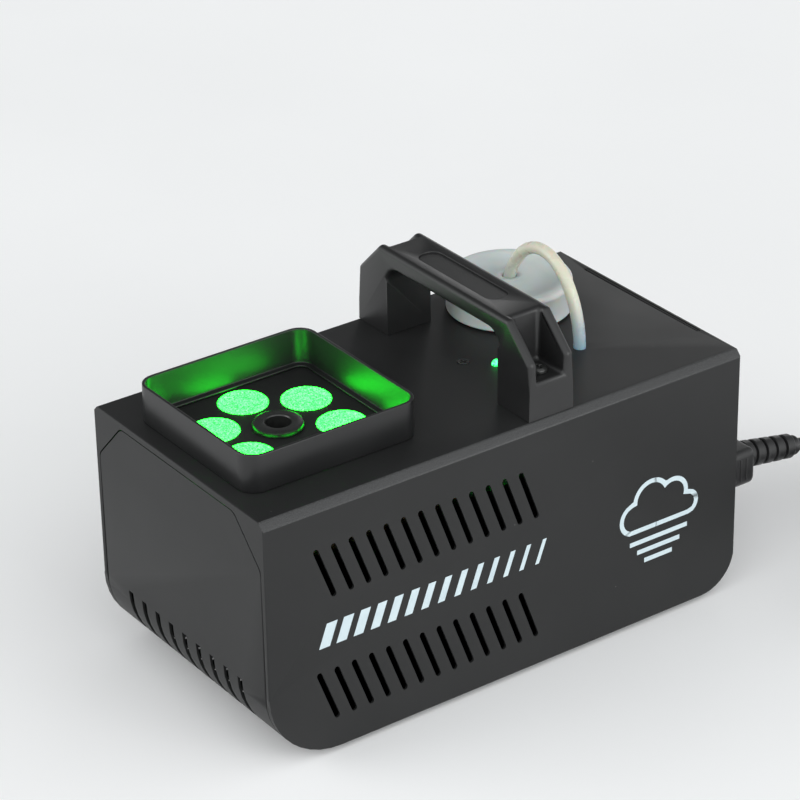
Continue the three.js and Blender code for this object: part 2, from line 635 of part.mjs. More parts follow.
// The hose stands straight through the cap, arches over to its hole in the top plate and runs to the pump.
const HOSE_ROUTE = [
  [CAP_X, CAP_Y, TANK_TRAY + 22], [CAP_X, CAP_Y, BASE + 60], [CAP_X, CAP_Y, TOP - 20],
  [CAP_X, CAP_Y, TOP + 16], [CAP_X, CAP_Y, TOP + 25], [CAP_X + 6, CAP_Y, TOP + 34],
  [CAP_X + 20, CAP_Y, TOP + 40], [CAP_X + 34, CAP_Y, TOP + 38.5], [HOSE_X - 10, CAP_Y, TOP + 31],
  [HOSE_X - 2.4, CAP_Y, TOP + 17], [HOSE_X, CAP_Y, TOP + 3], [HOSE_X, CAP_Y, TOP - 12],
  [HOSE_X + 1, CAP_Y - 3, TOP - 34],
];

function hose() {
  const pump = [CORE_HALF + BARB_LENGTH, HANDLE_Y, BASE + PUMP_RISE];
  const route = [...HOSE_ROUTE,
    [HOSE_X + 12, CAP_Y - 17, TOP - 56], [pump[0] + 12, HANDLE_Y + 22, pump[2] + 28],
    [pump[0] + 18, HANDLE_Y + 6, pump[2] + 10], [pump[0] + 12, HANDLE_Y, pump[2] + 0.5],
    [pump[0] + 5, HANDLE_Y, pump[2]], [pump[0] + CLEAR, HANDLE_Y, pump[2]],
  ];
  const low = TANK_TRAY + SEAT + TANK_WALL + 1;
  const filter = turned([[0, low], [6, low], [6, low + 14], [4, low + 17], [0, low + 17]], 16, 'z',
    [CAP_X, CAP_Y, 0]);
  return [
    mesh('suction_hose', bar(route, HOSE_RADIUS, 8, 56), HOSE_MILKY),
    mesh('intake_filter', filter, BRASS),
  ];
}

// ---- Pump ----
function pump() {
  const rise = BASE + PUMP_RISE;
  const half = COIL_THICK / 2;
  const tip = CORE_HALF + BARB_LENGTH;
  const [collar, collarFoot] = [CORE_RADIUS + 1.5, CORE_HALF - 9];
  const chamber = PLUNGER_RADIUS + CLEAR;
  const core = [
    [BARB_BORE, tip], [BARB_RADIUS, tip], [BARB_RADIUS, CORE_HALF], [collar, CORE_HALF],
    [collar, collarFoot],
    [CORE_RADIUS, collarFoot], [CORE_RADIUS, -collarFoot], [collar, -collarFoot], [collar, -CORE_HALF],
    [BARB_RADIUS, -CORE_HALF], [BARB_RADIUS, -tip], [BARB_BORE, -tip], [BARB_BORE, -COIL_HALF],
    [chamber, -COIL_HALF], [chamber, COIL_HALF], [BARB_BORE, COIL_HALF],
  ];
  const bore = disc(CORE_RADIUS + CLEAR, -CORE_HALF, CORE_HALF, 24, 'x');
  const winding = cut(prism('x', rectangle(-half, half, -half, half, 4), -COIL_HALF, COIL_HALF, 4), bore);
  const [inner, outer] = [COIL_HALF + CLEAR, COIL_HALF + CLEAR + YOKE];
  const yoke = cut(prism('y', outline([
    [-outer, -half - CLEAR - YOKE], [outer, -half - CLEAR - YOKE], [outer, half], [inner, half],
    [inner, -half - CLEAR], [-inner, -half - CLEAR], [-inner, half], [-outer, half],
  ]), -half + 2, half - 2), bore);
  const padHigh = -half - CLEAR - YOKE - CLEAR;
  const plunger = PLUNGER_LENGTH / 2;
  const place = [0, HANDLE_Y, rise];
  return [
    mesh('pump_core', turned(core, 16, 'x'), BRASS, place),
    mesh('pump_plunger', disc(PLUNGER_RADIUS, -plunger, plunger, 20, 'x'), STEEL, place),
    mesh('pump_winding', winding, BLACK_PLASTIC, place), mesh('pump_yoke', yoke, STEEL, place),
    mesh('pump_pad', prism('z', rectangle(-16, 16, -10, 10, 3), FLOOR - rise, padHigh, 3), BLACK_RUBBER,
      place),
  ];
}

function feedTube() {
  const start = -CORE_HALF - BARB_LENGTH - CLEAR;
  const rise = BASE + PUMP_RISE;
  const route = [
    [start, HANDLE_Y, rise], [start - 5, HANDLE_Y, rise], [start - 13, HANDLE_Y - 4, rise + 8],
    [start - 10, HANDLE_Y - 7, rise + 26], [FEED_X - 20, HANDLE_Y - 5, HEATER_Z - 4],
    [FEED_X - 5, HEATER_REAR + 20, HEATER_Z - 1], [FEED_X, HEATER_REAR + 8, HEATER_Z],
    [FEED_X, HEATER_REAR - 9, HEATER_Z],
  ];
  return mesh('feed_tube', bar(route, FEED_RADIUS, 8, 32), COPPER);
}

// ---- Handle ----
function handle() {
  const span = HANDLE_HALF_SPAN;
  const shoulder = HANDLE_HEIGHT - HANDLE_CHAMFER;
  const under = HANDLE_HEIGHT - HANDLE_BAR;
  const side = outline([
    [-span, SEAT], [-HANDLE_LEG_INSIDE, SEAT], [-HANDLE_LEG_INSIDE, under, HANDLE_INNER_ROUND],
    [HANDLE_LEG_INSIDE, under, HANDLE_INNER_ROUND], [HANDLE_LEG_INSIDE, SEAT], [span, SEAT],
    [span, shoulder, 3], [span - HANDLE_CHAMFER, HANDLE_HEIGHT, 3],
    [HANDLE_CHAMFER - span, HANDLE_HEIGHT, 3],
    [-span, shoulder, 3],
  ]);
  const half = HANDLE_DEPTH / 2;
  const [pocketHalf, recessHalf] = [POCKET_WIDTH / 2, RECESS_WIDTH / 2];
  const pocket = (x0, x1) => box(x0, x1, -pocketHalf, pocketHalf, POCKET_FLOOR, HANDLE_HEIGHT + 1);
  const screwHole = (x) => disc(SCREW_RADIUS + CLEAR, -1, POCKET_FLOOR + 1, 16, 'z', [x, 0, 0]);
  const recess = prism('z', rectangle(-RECESS_HALF, RECESS_HALF, -recessHalf, recessHalf, recessHalf - 0.7),
    HANDLE_HEIGHT - RECESS_DEPTH, HANDLE_HEIGHT + 1);
  const body = cut(prism('y', side, -half, half, 6),
    pocket(POCKET_INSIDE, span + 1), pocket(-span - 1, -POCKET_INSIDE),
    screwHole(HANDLE_SCREW_X), screwHole(-HANDLE_SCREW_X), recess);
  return mesh('handle', body, BLACK_PLASTIC, [0, HANDLE_Y, TOP]);
}

// A steel strip under the top plate that carries the handle's load, with nuts welded under it.
function handleBrace() {
  const high = UNDER_TOP;
  const low = high - 1.8;
  const reach = HANDLE_SCREW_X + 5;
  const strip = box(-reach, reach, -BRACE_DEPTH / 2, BRACE_DEPTH / 2, low, high);
  const xs = [-HANDLE_SCREW_X, 0, HANDLE_SCREW_X];
  const nuts = xs.map((x) => disc(4, low - 4, low + 0.5, 6, 'z', [x, 0, 0]));
  const holes = xs.map((x) => disc(SCREW_RADIUS + CLEAR, low - 6, high + 1, 16, 'z', [x, 0, 0]));
  return mesh('handle_brace', cut(join(strip, ...nuts), ...holes), STEEL, [0, HANDLE_Y, 0]);
}

function screws() {
  const head = POCKET_FLOOR + SEAT;
  const pan = [
    [0, -8.5], [SCREW_RADIUS, -8.5], [SCREW_RADIUS, head], [4, head], [4, head + 1.6], [2.8, head + 2.6],
    [0, head + 2.6],
  ];
  const sunk = [[0, -7.5], [1.6, -7.5], [1.6, -SHEET], [3, 0], [0, 0]];
  const driven = (profile, top) => cut(turned(profile, 12), box(-0.5, 0.5, -2, 2, top - 1.1, top + 1),
    box(-2, 2, -0.5, 0.5, top - 1.1, top + 1));
  return [
    mesh('handle_screw_left', driven(pan, head + 2.6), BLACK_STEEL, [-HANDLE_SCREW_X, HANDLE_Y, TOP]),
    mesh('handle_screw_right', driven(pan, head + 2.6), BLACK_STEEL, [HANDLE_SCREW_X, HANDLE_Y, TOP]),
    mesh('top_screw', driven(sunk, 0.4), BLACK_STEEL, [0, HANDLE_Y, TOP]),
  ];
}

function statusLed() {
  const [rim, dome] = [STATUS_LED_RADIUS + 0.4, STATUS_LED_RADIUS];
  const profile = [
    [0, -8], [rim, -8], [rim, -6.8], [dome, -6.8], [dome, 0.4], [dome - 0.4, 1.5], [dome - 1.3, 2.2],
    [0, 2.4],
  ];
  return mesh('status_led', turned(profile, 14), GREEN_LED, [...STATUS_LED_PLACE, TOP]);
}

// ---- Control board ----
const BOARD_Z = [BASE + 63, BASE + 115];
const BOARD_TO_SIDE = 13;
const BOARD_THICK = 1.6;
const BRACKET_TO_SIDE = 8.5;

function controlBoard() {
  const [front, rear] = [REAR - 83, REAR - 11];
  const [low, high] = BOARD_Z;
  const face = SIDE - BOARD_TO_SIDE;
  const plate = box(face, face + BOARD_THICK, front, rear, low, high);
  const capacitor = (z) => disc(4, -14, 0.5, 16, 'x', [face, front + 10, z]);
  const parts = [
    box(face - 22, face + 0.5, rear - 30, rear - 3, high - 30, high - 4),
    box(face - 15, face + 0.5, rear - 52, rear - 33, high - 22, high - 5),
    box(face - 11, face + 0.5, front + 4, front + 34, low + 3, low + 13),
    capacitor(high - 10), capacitor(high - 21),
    box(face - 4, face + 0.5, rear - 30, rear - 20, low + 5, low + 15),
  ];
  return mesh('control_board', join(plate, ...parts), BOARD_GREEN);
}

function boardBracket() {
  const [low, high] = BOARD_Z;
  const wall = SIDE - BRACKET_TO_SIDE;
  const panel = box(wall, wall + SHEET, REAR - 85, REAR_INNER, low - 2, high + 2);
  const flange = box(wall - 14, wall + SHEET, REAR_INNER - SHEET, REAR_INNER, low - 2, high + 2);
  const face = SIDE - BOARD_TO_SIDE + BOARD_THICK + SEAT;
  const posts = [REAR - 79, REAR - 15].flatMap((y) => [low + 4, high - 4].map((z) => (
    disc(2.5, 0, wall + 0.5 - face, 10, 'x', [face, y, z]))));
  return mesh('board_bracket', join(panel, flange, ...posts), STEEL);
}

// ---- Rear panel fittings ----
function inlet() {
  const [width, height] = INLET_SIZE;
  const block = (w, h, from, to, radius) => prism('y', rectangle(-w / 2, w / 2, -h / 2, h / 2, radius), from,
    to, 3);
  const floor = 3 - INLET_DEPTH;
  const body = join(block(width + 5, height + 5, SEAT, INLET_FLANGE, 2),
    block(width, height, -INLET_DEPTH, 1, 2));
  const hollow = cut(body, block(width - 3, height - 3.6, floor, INLET_FLANGE + 1, 1.5));
  const pins = INLET_PINS.map(([x, z]) => box(x - PIN_HALF[0], x + PIN_HALF[0], floor - 0.5, -1.5,
    z - PIN_HALF[1], z + PIN_HALF[1]));
  const tabs = INLET_PINS.map(([x, z]) => box(x - 0.4, x + 0.4, -INLET_DEPTH - 8, 0.5 - INLET_DEPTH,
    z - 3, z + 3));
  return mesh('mains_inlet', join(hollow, ...pins, ...tabs), BLACK_PLASTIC, [INLET_X, REAR, PANEL_Z]);
}

function powerSwitch() {
  const [width, height] = SWITCH_SIZE;
  const housing = cut(join(
    box(-width / 2 - 1.2, width / 2 + 1.2, SEAT, 2, -height / 2 - 1.2, height / 2 + 1.2),
    box(-width / 2, width / 2, -14, 1, -height / 2, height / 2),
    box(-0.4, 0.4, -20, -13, -6, -2), box(-0.4, 0.4, -20, -13, 2, 6),
  ), box(1.4 - width / 2, width / 2 - 1.4, -9, 4, 1.2 - height / 2, height / 2 - 1.2));
  const half = width / 2 - 1.4 - CLEAR;
  const reach = height / 2 - 1.2 - 3 * CLEAR;
  const rocker = prism('x', outline([
    [-4.5, -4], [-4.5, 4], [3.4, reach, 0.6], [2.6, 0], [3.4, -reach, 0.6],
  ]), -half, half, 3);
  return [
    mesh('switch_housing', housing, BLACK_PLASTIC, [SWITCH_X, REAR, PANEL_Z]),
    mesh('rocker', rocker, RED_PLASTIC, [SWITCH_X, REAR, PANEL_Z], [-ROCKER_TILT, 0, 0]),
  ];
}

function fogButton() {
  const bore = BUTTON_RADIUS + CLEAR;
  const sleeve = [[bore, -12], [bore + 1.7, -12], [bore + 1.7, SEAT], [bore + 3.6, SEAT], [bore + 3.6, 1.6],
    [bore + 2.8, 2.2], [bore, 2.2]];
  const closedEnd = disc(bore + 1.7, -16, -11.5, 20, 'y');
  const button = [[0, -6], [BUTTON_RADIUS, -6], [BUTTON_RADIUS, BUTTON_PROUD - 0.6],
    [BUTTON_RADIUS - 0.6, BUTTON_PROUD], [0, BUTTON_PROUD]];
  const place = [BUTTON_X, REAR, PANEL_Z];
  return [
    mesh('button_housing', join(turned(sleeve, 20, 'y'), closedEnd), BLACK_PLASTIC, place),
    mesh('fog_button', turned(button, 20, 'y'), RED_PLASTIC, place),
  ];
}

function fuse() {
  const holder = [[4.2, -24], [FUSE_RADIUS, -24], [FUSE_RADIUS, SEAT], [FUSE_RADIUS + 1.6, SEAT],
    [FUSE_RADIUS + 1.6, 1.8], [4.2, 1.8]];
  const knob = [[0, -12], [3.8, -12], [3.8, 1.8 + CLEAR], [6.6, 1.8 + CLEAR], [6.6, REAR_PROUD - 0.6],
    [6, REAR_PROUD], [0, REAR_PROUD]];
  const slot = box(-5, 5, REAR_PROUD - 1.3, REAR_PROUD + 1, -0.7, 0.7);
  const place = [FUSE_X, REAR, PANEL_Z];
  return [
    mesh('fuse_holder', turned(holder, 20, 'y'), BLACK_PLASTIC, place),
    mesh('fuse_cap', cut(turned(knob, 20, 'y'), slot), BLACK_PLASTIC, place),
  ];
}

// ---- Mains lead ----
function connector() {
  const [width, height] = INLET_SIZE;
  const block = (w, h, from, to, radius) => prism('y', rectangle(-w / 2, w / 2, -h / 2, h / 2, radius), from,
    to, 4);
  const [slotX, slotZ] = PIN_HALF.map((half) => half + CLEAR);
  const slots = INLET_PINS.map(([x, z]) => box(x - slotX, x + slotX, -INLET_DEPTH, 0, z - slotZ, z + slotZ));
  const nose = cut(
    block(width - 3 - 2 * CLEAR, height - 3.6 - 2 * CLEAR, 3 - INLET_DEPTH + CLEAR, 5, 1.2), ...slots);
  const grip = block(width - 0.4, height - 0.7, INLET_FLANGE + CLEAR, RELIEF_START - REAR + 2.5, 4);
  const relief = new THREE.LatheGeometry(
    [[0, 0], [6.8, 0], [6.4, 4], [5.6, RELIEF_LENGTH - 1], [5, RELIEF_LENGTH], [0, RELIEF_LENGTH]]
      .map(([r, h]) => new THREE.Vector2(r, h)), 24);
  relief.rotateX(-RELIEF_DROOP).translate(0, RELIEF_START - REAR, 0);
  return mesh('mains_connector', join(nose, grip, solid(relief)), BLACK_RUBBER, [INLET_X, REAR, PANEL_Z]);
}

// The lead falls from the connector, lands and runs into the coil's outer turn. The tail runs to the plug.
const LEAD_ROUTE = [
  [39.5, 197, 44.4], [39.1, 203.7, 42.6], [38, 210.3, 39.8], [36.6, 216.5, 36.4], [35.2, 222.5, 32.5],
  [33.9, 228.3, 28.3], [33, 234.1, 24], [32.7, 239.8, 19.6], [33.3, 245.7, 15.3], [35.2, 251.5, 11.4],
  [38.5, 257.1, 8.2], [43.1, 262.3, 6], [48.7, 266.8, 4.8], [54.8, 270.7, 4.5],
];
const TAIL_ROUTE = [[146, 232.9, 11], [146.6, 229.6, 11], [147, 225.7, 11]];

function lead() {
  return [
    mesh('cord_lead', bar(LEAD_ROUTE, CORD_RADIUS, 10, 20), BLACK_RUBBER),
    mesh('cord_coil', turned([[COIL_INNER_EDGE, 0], [COIL_OUTER_EDGE, 0], [COIL_OUTER_EDGE, COIL_HEIGHT],
      [COIL_INNER_EDGE, COIL_HEIGHT]], 48), BLACK_RUBBER, [...COIL_CENTRE, COIL_BASE]),
    mesh('cord_tail', bar(TAIL_ROUTE, CORD_RADIUS, 10, 3), BLACK_RUBBER), tie(), plug(),
  ];
}

// A strap round the coil's turns.
function tie() {
  const inner = Math.sqrt(COIL_INNER_EDGE ** 2 - (TIE_WIDTH / 2) ** 2) - 2 * CLEAR;
  const outer = COIL_OUTER_EDGE + CLEAR;
  const loop = cut(
    prism('y', rectangle(inner - TIE_THICK, outer + TIE_THICK, 0,
      COIL_HEIGHT + 2 * (TIE_THICK + CLEAR), 1.5),
      -TIE_WIDTH / 2, TIE_WIDTH / 2, 3),
    box(inner, outer, -TIE_WIDTH, TIE_WIDTH, TIE_THICK, COIL_HEIGHT + TIE_THICK + 2 * CLEAR));
  return mesh('cord_tie', loop, BLACK_RUBBER, [...COIL_CENTRE, 0], [0, 0, -Math.PI / 4]);
}

// A straight moulded plug with two flat blades and a round earth pin.
function plug() {
  const relief = turned([[0, 0], [4.6, 0], [5.2, 1], [6.6, PLUG_RELIEF], [0, PLUG_RELIEF]], 20, 'y');
  const half = [PLUG_WIDTH / 2, PLUG_HEIGHT / 2];
  const sides = outline([
    [-6, PLUG_RELIEF - 2, 2], [6, PLUG_RELIEF - 2, 2], [half[0], PLUG_RELIEF + 10, 5],
    [half[0], PLUG_RELIEF + PLUG_BODY], [-half[0], PLUG_RELIEF + PLUG_BODY], [-half[0], PLUG_RELIEF + 10, 5],
  ]);
  const body = prism('z', sides, -half[1], half[1], 4).intersect(
    prism('y', rectangle(-half[0], half[0], -half[1], half[1], 5), PLUG_RELIEF - 3,
      PLUG_RELIEF + PLUG_BODY, 4));
  const face = PLUG_RELIEF + PLUG_BODY;
  const blades = [-6.3, 6.3].map((x) => box(x - 0.75, x + 0.75, face - 1, face + PLUG_PIN, -5.5, 1));
  const earth = disc(2.4, face - 1, face + PLUG_PIN + 3, 12, 'y', [0, 0, 6.5]);
  return mesh('mains_plug', join(relief, body, ...blades, earth), BLACK_RUBBER,
    [...PLUG_PLACE, PLUG_HEIGHT / 2], [0, 0, Math.PI]);
}

// ---- Assembly ----
const machine = new THREE.Group();
const lightUnit = new THREE.Group();
lightUnit.add(lightHood(), ...lenses(), ledBoard(), ledPlate(), nozzle());
const fluidUnit = new THREE.Group();
fluidUnit.add(tank(), tankTray(), ...cap(), ...hose(), ...pump(), feedTube());
const rearPanel = new THREE.Group();
rearPanel.add(inlet(), ...powerSwitch(), ...fogButton(), ...fuse());
const mainsLead = new THREE.Group();
mainsLead.add(connector(), ...lead());
machine.add(topCover(), chassis(), ...feet(), lightUnit, ...heater(), fluidUnit, handle(), handleBrace(),
  ...screws(), statusLed(), controlBoard(), boardBracket(), rearPanel, mainsLead);

export default machine;
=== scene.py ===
"""A vertical fog machine: its shells, light unit, handle, fluid parts, rear panel and mains lead.

Every length is in metres. The machine stands on z = 0 with its light hood at the -Y end and its rear panel
at +Y.
"""
import json
import logging
import math
from dataclasses import dataclass, field
from enum import Enum
from typing import Callable, Iterable, Sequence

import bmesh
import bpy
from mathutils import Matrix, Vector, noise


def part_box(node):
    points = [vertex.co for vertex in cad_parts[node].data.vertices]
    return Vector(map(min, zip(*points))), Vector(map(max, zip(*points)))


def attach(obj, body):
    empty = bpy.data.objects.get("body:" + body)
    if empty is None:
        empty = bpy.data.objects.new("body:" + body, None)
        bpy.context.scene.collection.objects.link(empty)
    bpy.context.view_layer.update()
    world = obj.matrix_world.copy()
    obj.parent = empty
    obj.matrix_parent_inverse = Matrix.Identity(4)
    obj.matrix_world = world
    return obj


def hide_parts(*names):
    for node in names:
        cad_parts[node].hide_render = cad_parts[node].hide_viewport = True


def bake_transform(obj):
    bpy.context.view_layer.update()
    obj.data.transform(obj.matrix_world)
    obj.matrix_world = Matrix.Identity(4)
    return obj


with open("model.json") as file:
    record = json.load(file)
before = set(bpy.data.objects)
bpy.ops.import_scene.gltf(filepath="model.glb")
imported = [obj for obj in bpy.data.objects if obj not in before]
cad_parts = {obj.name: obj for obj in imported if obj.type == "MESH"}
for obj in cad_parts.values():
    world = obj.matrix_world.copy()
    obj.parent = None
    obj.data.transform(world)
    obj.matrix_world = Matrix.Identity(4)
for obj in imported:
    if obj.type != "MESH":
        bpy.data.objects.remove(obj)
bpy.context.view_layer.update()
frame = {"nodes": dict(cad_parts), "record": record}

MM = 0.001
SLOTS: dict[str, str] = {row["node"]: row["material_slot"] for row in frame["record"]["subparts"]}
BODIES: dict[str, str] = {
    node: body for body, nodes in frame["record"]["behaviour"]["bodies"].items() for node in nodes
}
LOG = logging.getLogger("fog_machine")

Colour = tuple[float, float, float]
Point = tuple[float, float, float]


class Axis(Enum):
    """The axis that a turned shape goes round."""

    X = "x"
    Y = "y"
    Z = "z"


# ---------------------------------------------------------------- finishes


class Graph:
    """A material's node tree, with short calls that add and join nodes."""

    def __init__(self, name: str) -> None:
        """Starts an empty material.

        Args:
            name: the material's name.
        """
        self.material = bpy.data.materials.new(name)
        self.material.use_nodes = True
        self.tree = self.material.node_tree
        self.shader = self.tree.nodes["Principled BSDF"]

    def add(self, kind: str, **settings: object) -> bpy.types.Node:
        """Adds a node.

        Args:
            kind: the node's type name without its ShaderNode prefix.
            settings: properties of the node to set.

        Returns:
            The new node.
        """
        node = self.tree.nodes.new("ShaderNode" + kind)
        for key, value in settings.items():
            setattr(node, key, value)
        return node

    def join(self, source: bpy.types.NodeSocket, target: bpy.types.NodeSocket) -> None:
        """Links one socket to another."""
        self.tree.links.new(source, target)

    def place(self, stretch: Point = (1.0, 1.0, 1.0)) -> bpy.types.NodeSocket:
        """Gives the piece's own coordinates.

        Args:
            stretch: how much the pattern is squeezed along each axis.

        Returns:
            A vector socket.
        """
        coordinates = self.add("TexCoord")
        mapping = self.add("Mapping")
        mapping.inputs["Scale"].default_value = stretch
        self.join(coordinates.outputs["Object"], mapping.inputs["Vector"])
        return mapping.outputs["Vector"]

    def noise(self, vector: bpy.types.NodeSocket, scale: float, detail: float = 3.0) -> bpy.types.NodeSocket:
        """Gives a noise value.

        Args:
            vector: where the noise is read.
            scale: cells in a metre.
            detail: how many finer layers it has.

        Returns:
            A value socket from 0 to 1.
        """
        node = self.add("TexNoise")
        node.inputs["Scale"].default_value = scale
        node.inputs["Detail"].default_value = detail
        self.join(vector, node.inputs["Vector"])
        return node.outputs["Fac"]

    def ramp(self, value: bpy.types.NodeSocket, low: float, high: float, from_low: float,
             from_high: float) -> bpy.types.NodeSocket:
        """Spreads a value from one range onto another.

        Args:
            value: the value to spread.
            low: the result at from_low.
            high: the result at from_high.
            from_low: the value where the range starts.
            from_high: the value where the range ends.

        Returns:
            A value socket.
        """
        node = self.add("MapRange")
        ends = {"From Min": from_low, "From Max": from_high, "To Min": low, "To Max": high}
        for name, number in ends.items():
            node.inputs[name].default_value = number
        self.join(value, node.inputs["Value"])
        return node.outputs["Result"]

    def math(self, operation: str, first: object, second: object) -> bpy.types.NodeSocket:
        """Works out one sum on two values, each a socket or a number.

        Args:
            operation: the sum's name.
            first: the first value.
            second: the second value.

        Returns:
            A value socket.
        """
        node = self.add("Math", operation=operation)
        for slot, value in zip(node.inputs, (first, second)):
            if isinstance(value, bpy.types.NodeSocket):
                self.join(value, slot)
            else:
                slot.default_value = value
        return node.outputs["Value"]

    def blend(self, factor: bpy.types.NodeSocket, first: object, second: object) -> bpy.types.NodeSocket:
        """Mixes two colours, each a socket or a colour.

        Args:
            factor: 0 for the first, 1 for the second.
            first: the first colour.
            second: the second colour.

        Returns:
            A colour socket.
        """
        node = self.add("Mix", data_type="RGBA")
        self.join(factor, node.inputs[0])
        for slot, value in ((node.inputs[6], first), (node.inputs[7], second)):
            if isinstance(value, bpy.types.NodeSocket):
                self.join(value, slot)
            else:
                slot.default_value = (*value, 1.0)
        return node.outputs[2]

    def bump(self, height: bpy.types.NodeSocket, depth: float, below: bpy.types.NodeSocket | None = None
             ) -> bpy.types.NodeSocket:
        """Turns a height into a normal.

        Args:
            height: the height pattern.
            depth: how deep the pattern is, in metres.
            below: a normal that this one lies on.

        Returns:
            A normal socket.
        """
        node = self.add("Bump")
        node.inputs["Distance"].default_value = depth
        self.join(height, node.inputs["Height"])
        if below is not None:
            self.join(below, node.inputs["Normal"])
        return node.outputs["Normal"]

    def set(self, **values: object) -> None:
        """Sets sockets of the shader, named with _ for a space."""
        for name, value in values.items():
            self.shader.inputs[name.replace("_", " ")].default_value = value


@dataclass(frozen=True)
class Finish:
    """A surface: two close colours in soft patches, a grain that catches light, and a worn roughness.

    Attributes:
        name: the material's name.
        dark: the colour of the darker patches.
        light: the colour of the lighter patches.
        rough: the lowest and highest roughness.
        patches: patches in a metre.
        grain: grains in a metre.
        depth: the grain's depth.
        metal: 1 for bare metal.
        stretch: how the grain is squeezed along each axis, as brushing does.
        specks: how much of the surface has dust on it, from 0.
        waxy: how much light soaks into it and comes out again.
        soak: how far that light travels.
        shine: the strength of its gloss.
    """

    name: str
    dark: Colour
    light: Colour
    rough: tuple[float, float] = (0.4, 0.55)
    patches: float = 60.0
    grain: float = 2500.0
    depth: float = 0.00003
    metal: float = 0.0
    stretch: Point = (1.0, 1.0, 1.0)
    specks: float = 0.0
    waxy: float = 0.0
    soak: float = 0.004
    shine: float = 0.5

    def material(self) -> bpy.types.Material:
        """Gives the finish's material, made once."""
        return bpy.data.materials.get(self.name) or self._make().material

    def _make(self) -> Graph:
        """Builds the nodes of the finish."""
        graph = Graph(self.name)
        place = graph.place()
        patch = graph.noise(place, self.patches)
        colour = graph.blend(graph.ramp(patch, 0.0, 1.0, 0.3, 0.7), self.dark, self.light)
        colour = self._dusted(graph, place, colour)
        grain = graph.noise(graph.place(self.stretch), self.grain, 2.0)
        graph.join(colour, graph.shader.inputs["Base Color"])
        wear = graph.math("ADD", graph.math("MULTIPLY", patch, 0.6), graph.math("MULTIPLY", grain, 0.4))
        graph.join(graph.ramp(wear, *self.rough, 0.3, 0.7), graph.shader.inputs["Roughness"])
        graph.join(graph.bump(grain, self.depth), graph.shader.inputs["Normal"])
        graph.set(Metallic=self.metal, Specular_IOR_Level=self.shine)
        if self.waxy:
            graph.set(Subsurface_Weight=self.waxy, Subsurface_Scale=self.soak)
        return graph

    def _dusted(self, graph: Graph, place: bpy.types.NodeSocket, colour: bpy.types.NodeSocket
                ) -> bpy.types.NodeSocket:
        """Scatters pale specks of dust over a colour.

        Args:
            graph: the material's nodes.
            place: where the pattern is read.
            colour: the colour below.

        Returns:
            The dusted colour.
        """
        if not self.specks:
            return colour
        cells = graph.add("TexVoronoi")
        cells.inputs["Scale"].default_value = 160.0
        graph.join(place, cells.inputs["Vector"])
        near = graph.ramp(cells.outputs["Distance"], 1.0, 0.0, 0.02, 0.05)
        some = graph.noise(place, 95.0, 0.0)
        chosen = graph.math("GREATER_THAN", some, 1.0 - self.specks)
        return graph.blend(graph.math("MULTIPLY", near, chosen), colour, (0.16, 0.16, 0.155))


@dataclass(frozen=True)
class LitLens:
    """Pebbled clear plastic with a bright LED behind it and brighter rings moulded in its face.

    Attributes:
        name: the material's name.
        deep: the light's colour in the pebbles' hollows.
        bright: the light's colour on their crowns.
        low: the strength of the light in the hollows.
        high: the strength of the light on the crowns.
        pebble: pebbles in a metre.
        rings: how strongly the rings show.
        rim: the radius of the outermost ring.
    """

    name: str = "lit_green_lens"
    deep: Colour = (0.006, 1.0, 0.025)
    bright: Colour = (0.017, 1.0, 0.023)
    low: float = 3.0
    high: float = 27.0
    pebble: float = 1150.0
    rings: float = 1.0
    rim: float = 0.0107

    def material(self) -> bpy.types.Material:
        """Gives the lens's material, made once."""
        return bpy.data.materials.get(self.name) or self._make()

    def _make(self) -> bpy.types.Material:
        """Builds the nodes of the lens."""
        graph = Graph(self.name)
        place = graph.place()
        pebbles = graph.add("TexVoronoi", feature="SMOOTH_F1")
        pebbles.inputs["Scale"].default_value = self.pebble
        pebbles.inputs["Smoothness"].default_value = 0.3
        graph.join(place, pebbles.inputs["Vector"])
        cloud = graph.noise(place, self.pebble * 1.3, 4.0)
        domes = graph.math("MULTIPLY", pebbles.outputs["Distance"], 0.5)
        crowns = graph.ramp(graph.math("ADD", cloud, domes), 0.0, 1.0, 0.58, 0.98)
        lit = graph.math("MAXIMUM", crowns, self._rings(graph)) if self.rings else crowns
        graph.join(graph.blend(lit, self.deep, self.bright), graph.shader.inputs["Emission Color"])
        graph.join(graph.ramp(lit, self.low, self.high, 0.0, 1.0), graph.shader.inputs["Emission Strength"])
        body = graph.blend(lit, (0.02, 0.10, 0.03), (0.05, 0.2, 0.07))
        graph.join(body, graph.shader.inputs["Base Color"])
        graph.join(graph.ramp(cloud, 0.08, 0.24, 0.3, 0.7), graph.shader.inputs["Roughness"])
        graph.join(graph.bump(pebbles.outputs["Distance"], 0.0002), graph.shader.inputs["Normal"])
        return graph.material

    def _rings(self, graph: Graph) -> bpy.types.NodeSocket:
        """Gives the brightness of the rings, from the radius that each vertex carries.

        Args:
            graph: the material's nodes.

        Returns:
            A value socket from 0 to 1.
        """
        radius = graph.add("Attribute", attribute_name="ring").outputs["Fac"]
        from_rim = graph.math("ABSOLUTE", graph.math("SUBTRACT", radius, self.rim), 0.0)
        rim = graph.ramp(from_rim, 0.62, 0.0, 0.0, 0.0006)
        wave = graph.math("SINE", graph.math("MULTIPLY", radius, 5200.0), 0.0)
        near = graph.ramp(radius, 0.75, 0.0, 0.0015, 0.0048)
        swirl = graph.math("MULTIPLY", graph.ramp(wave, 0.0, 1.0, 0.2, 0.9), near)
        return graph.math("MULTIPLY", graph.math("MAXIMUM", rim, swirl), self.rings)


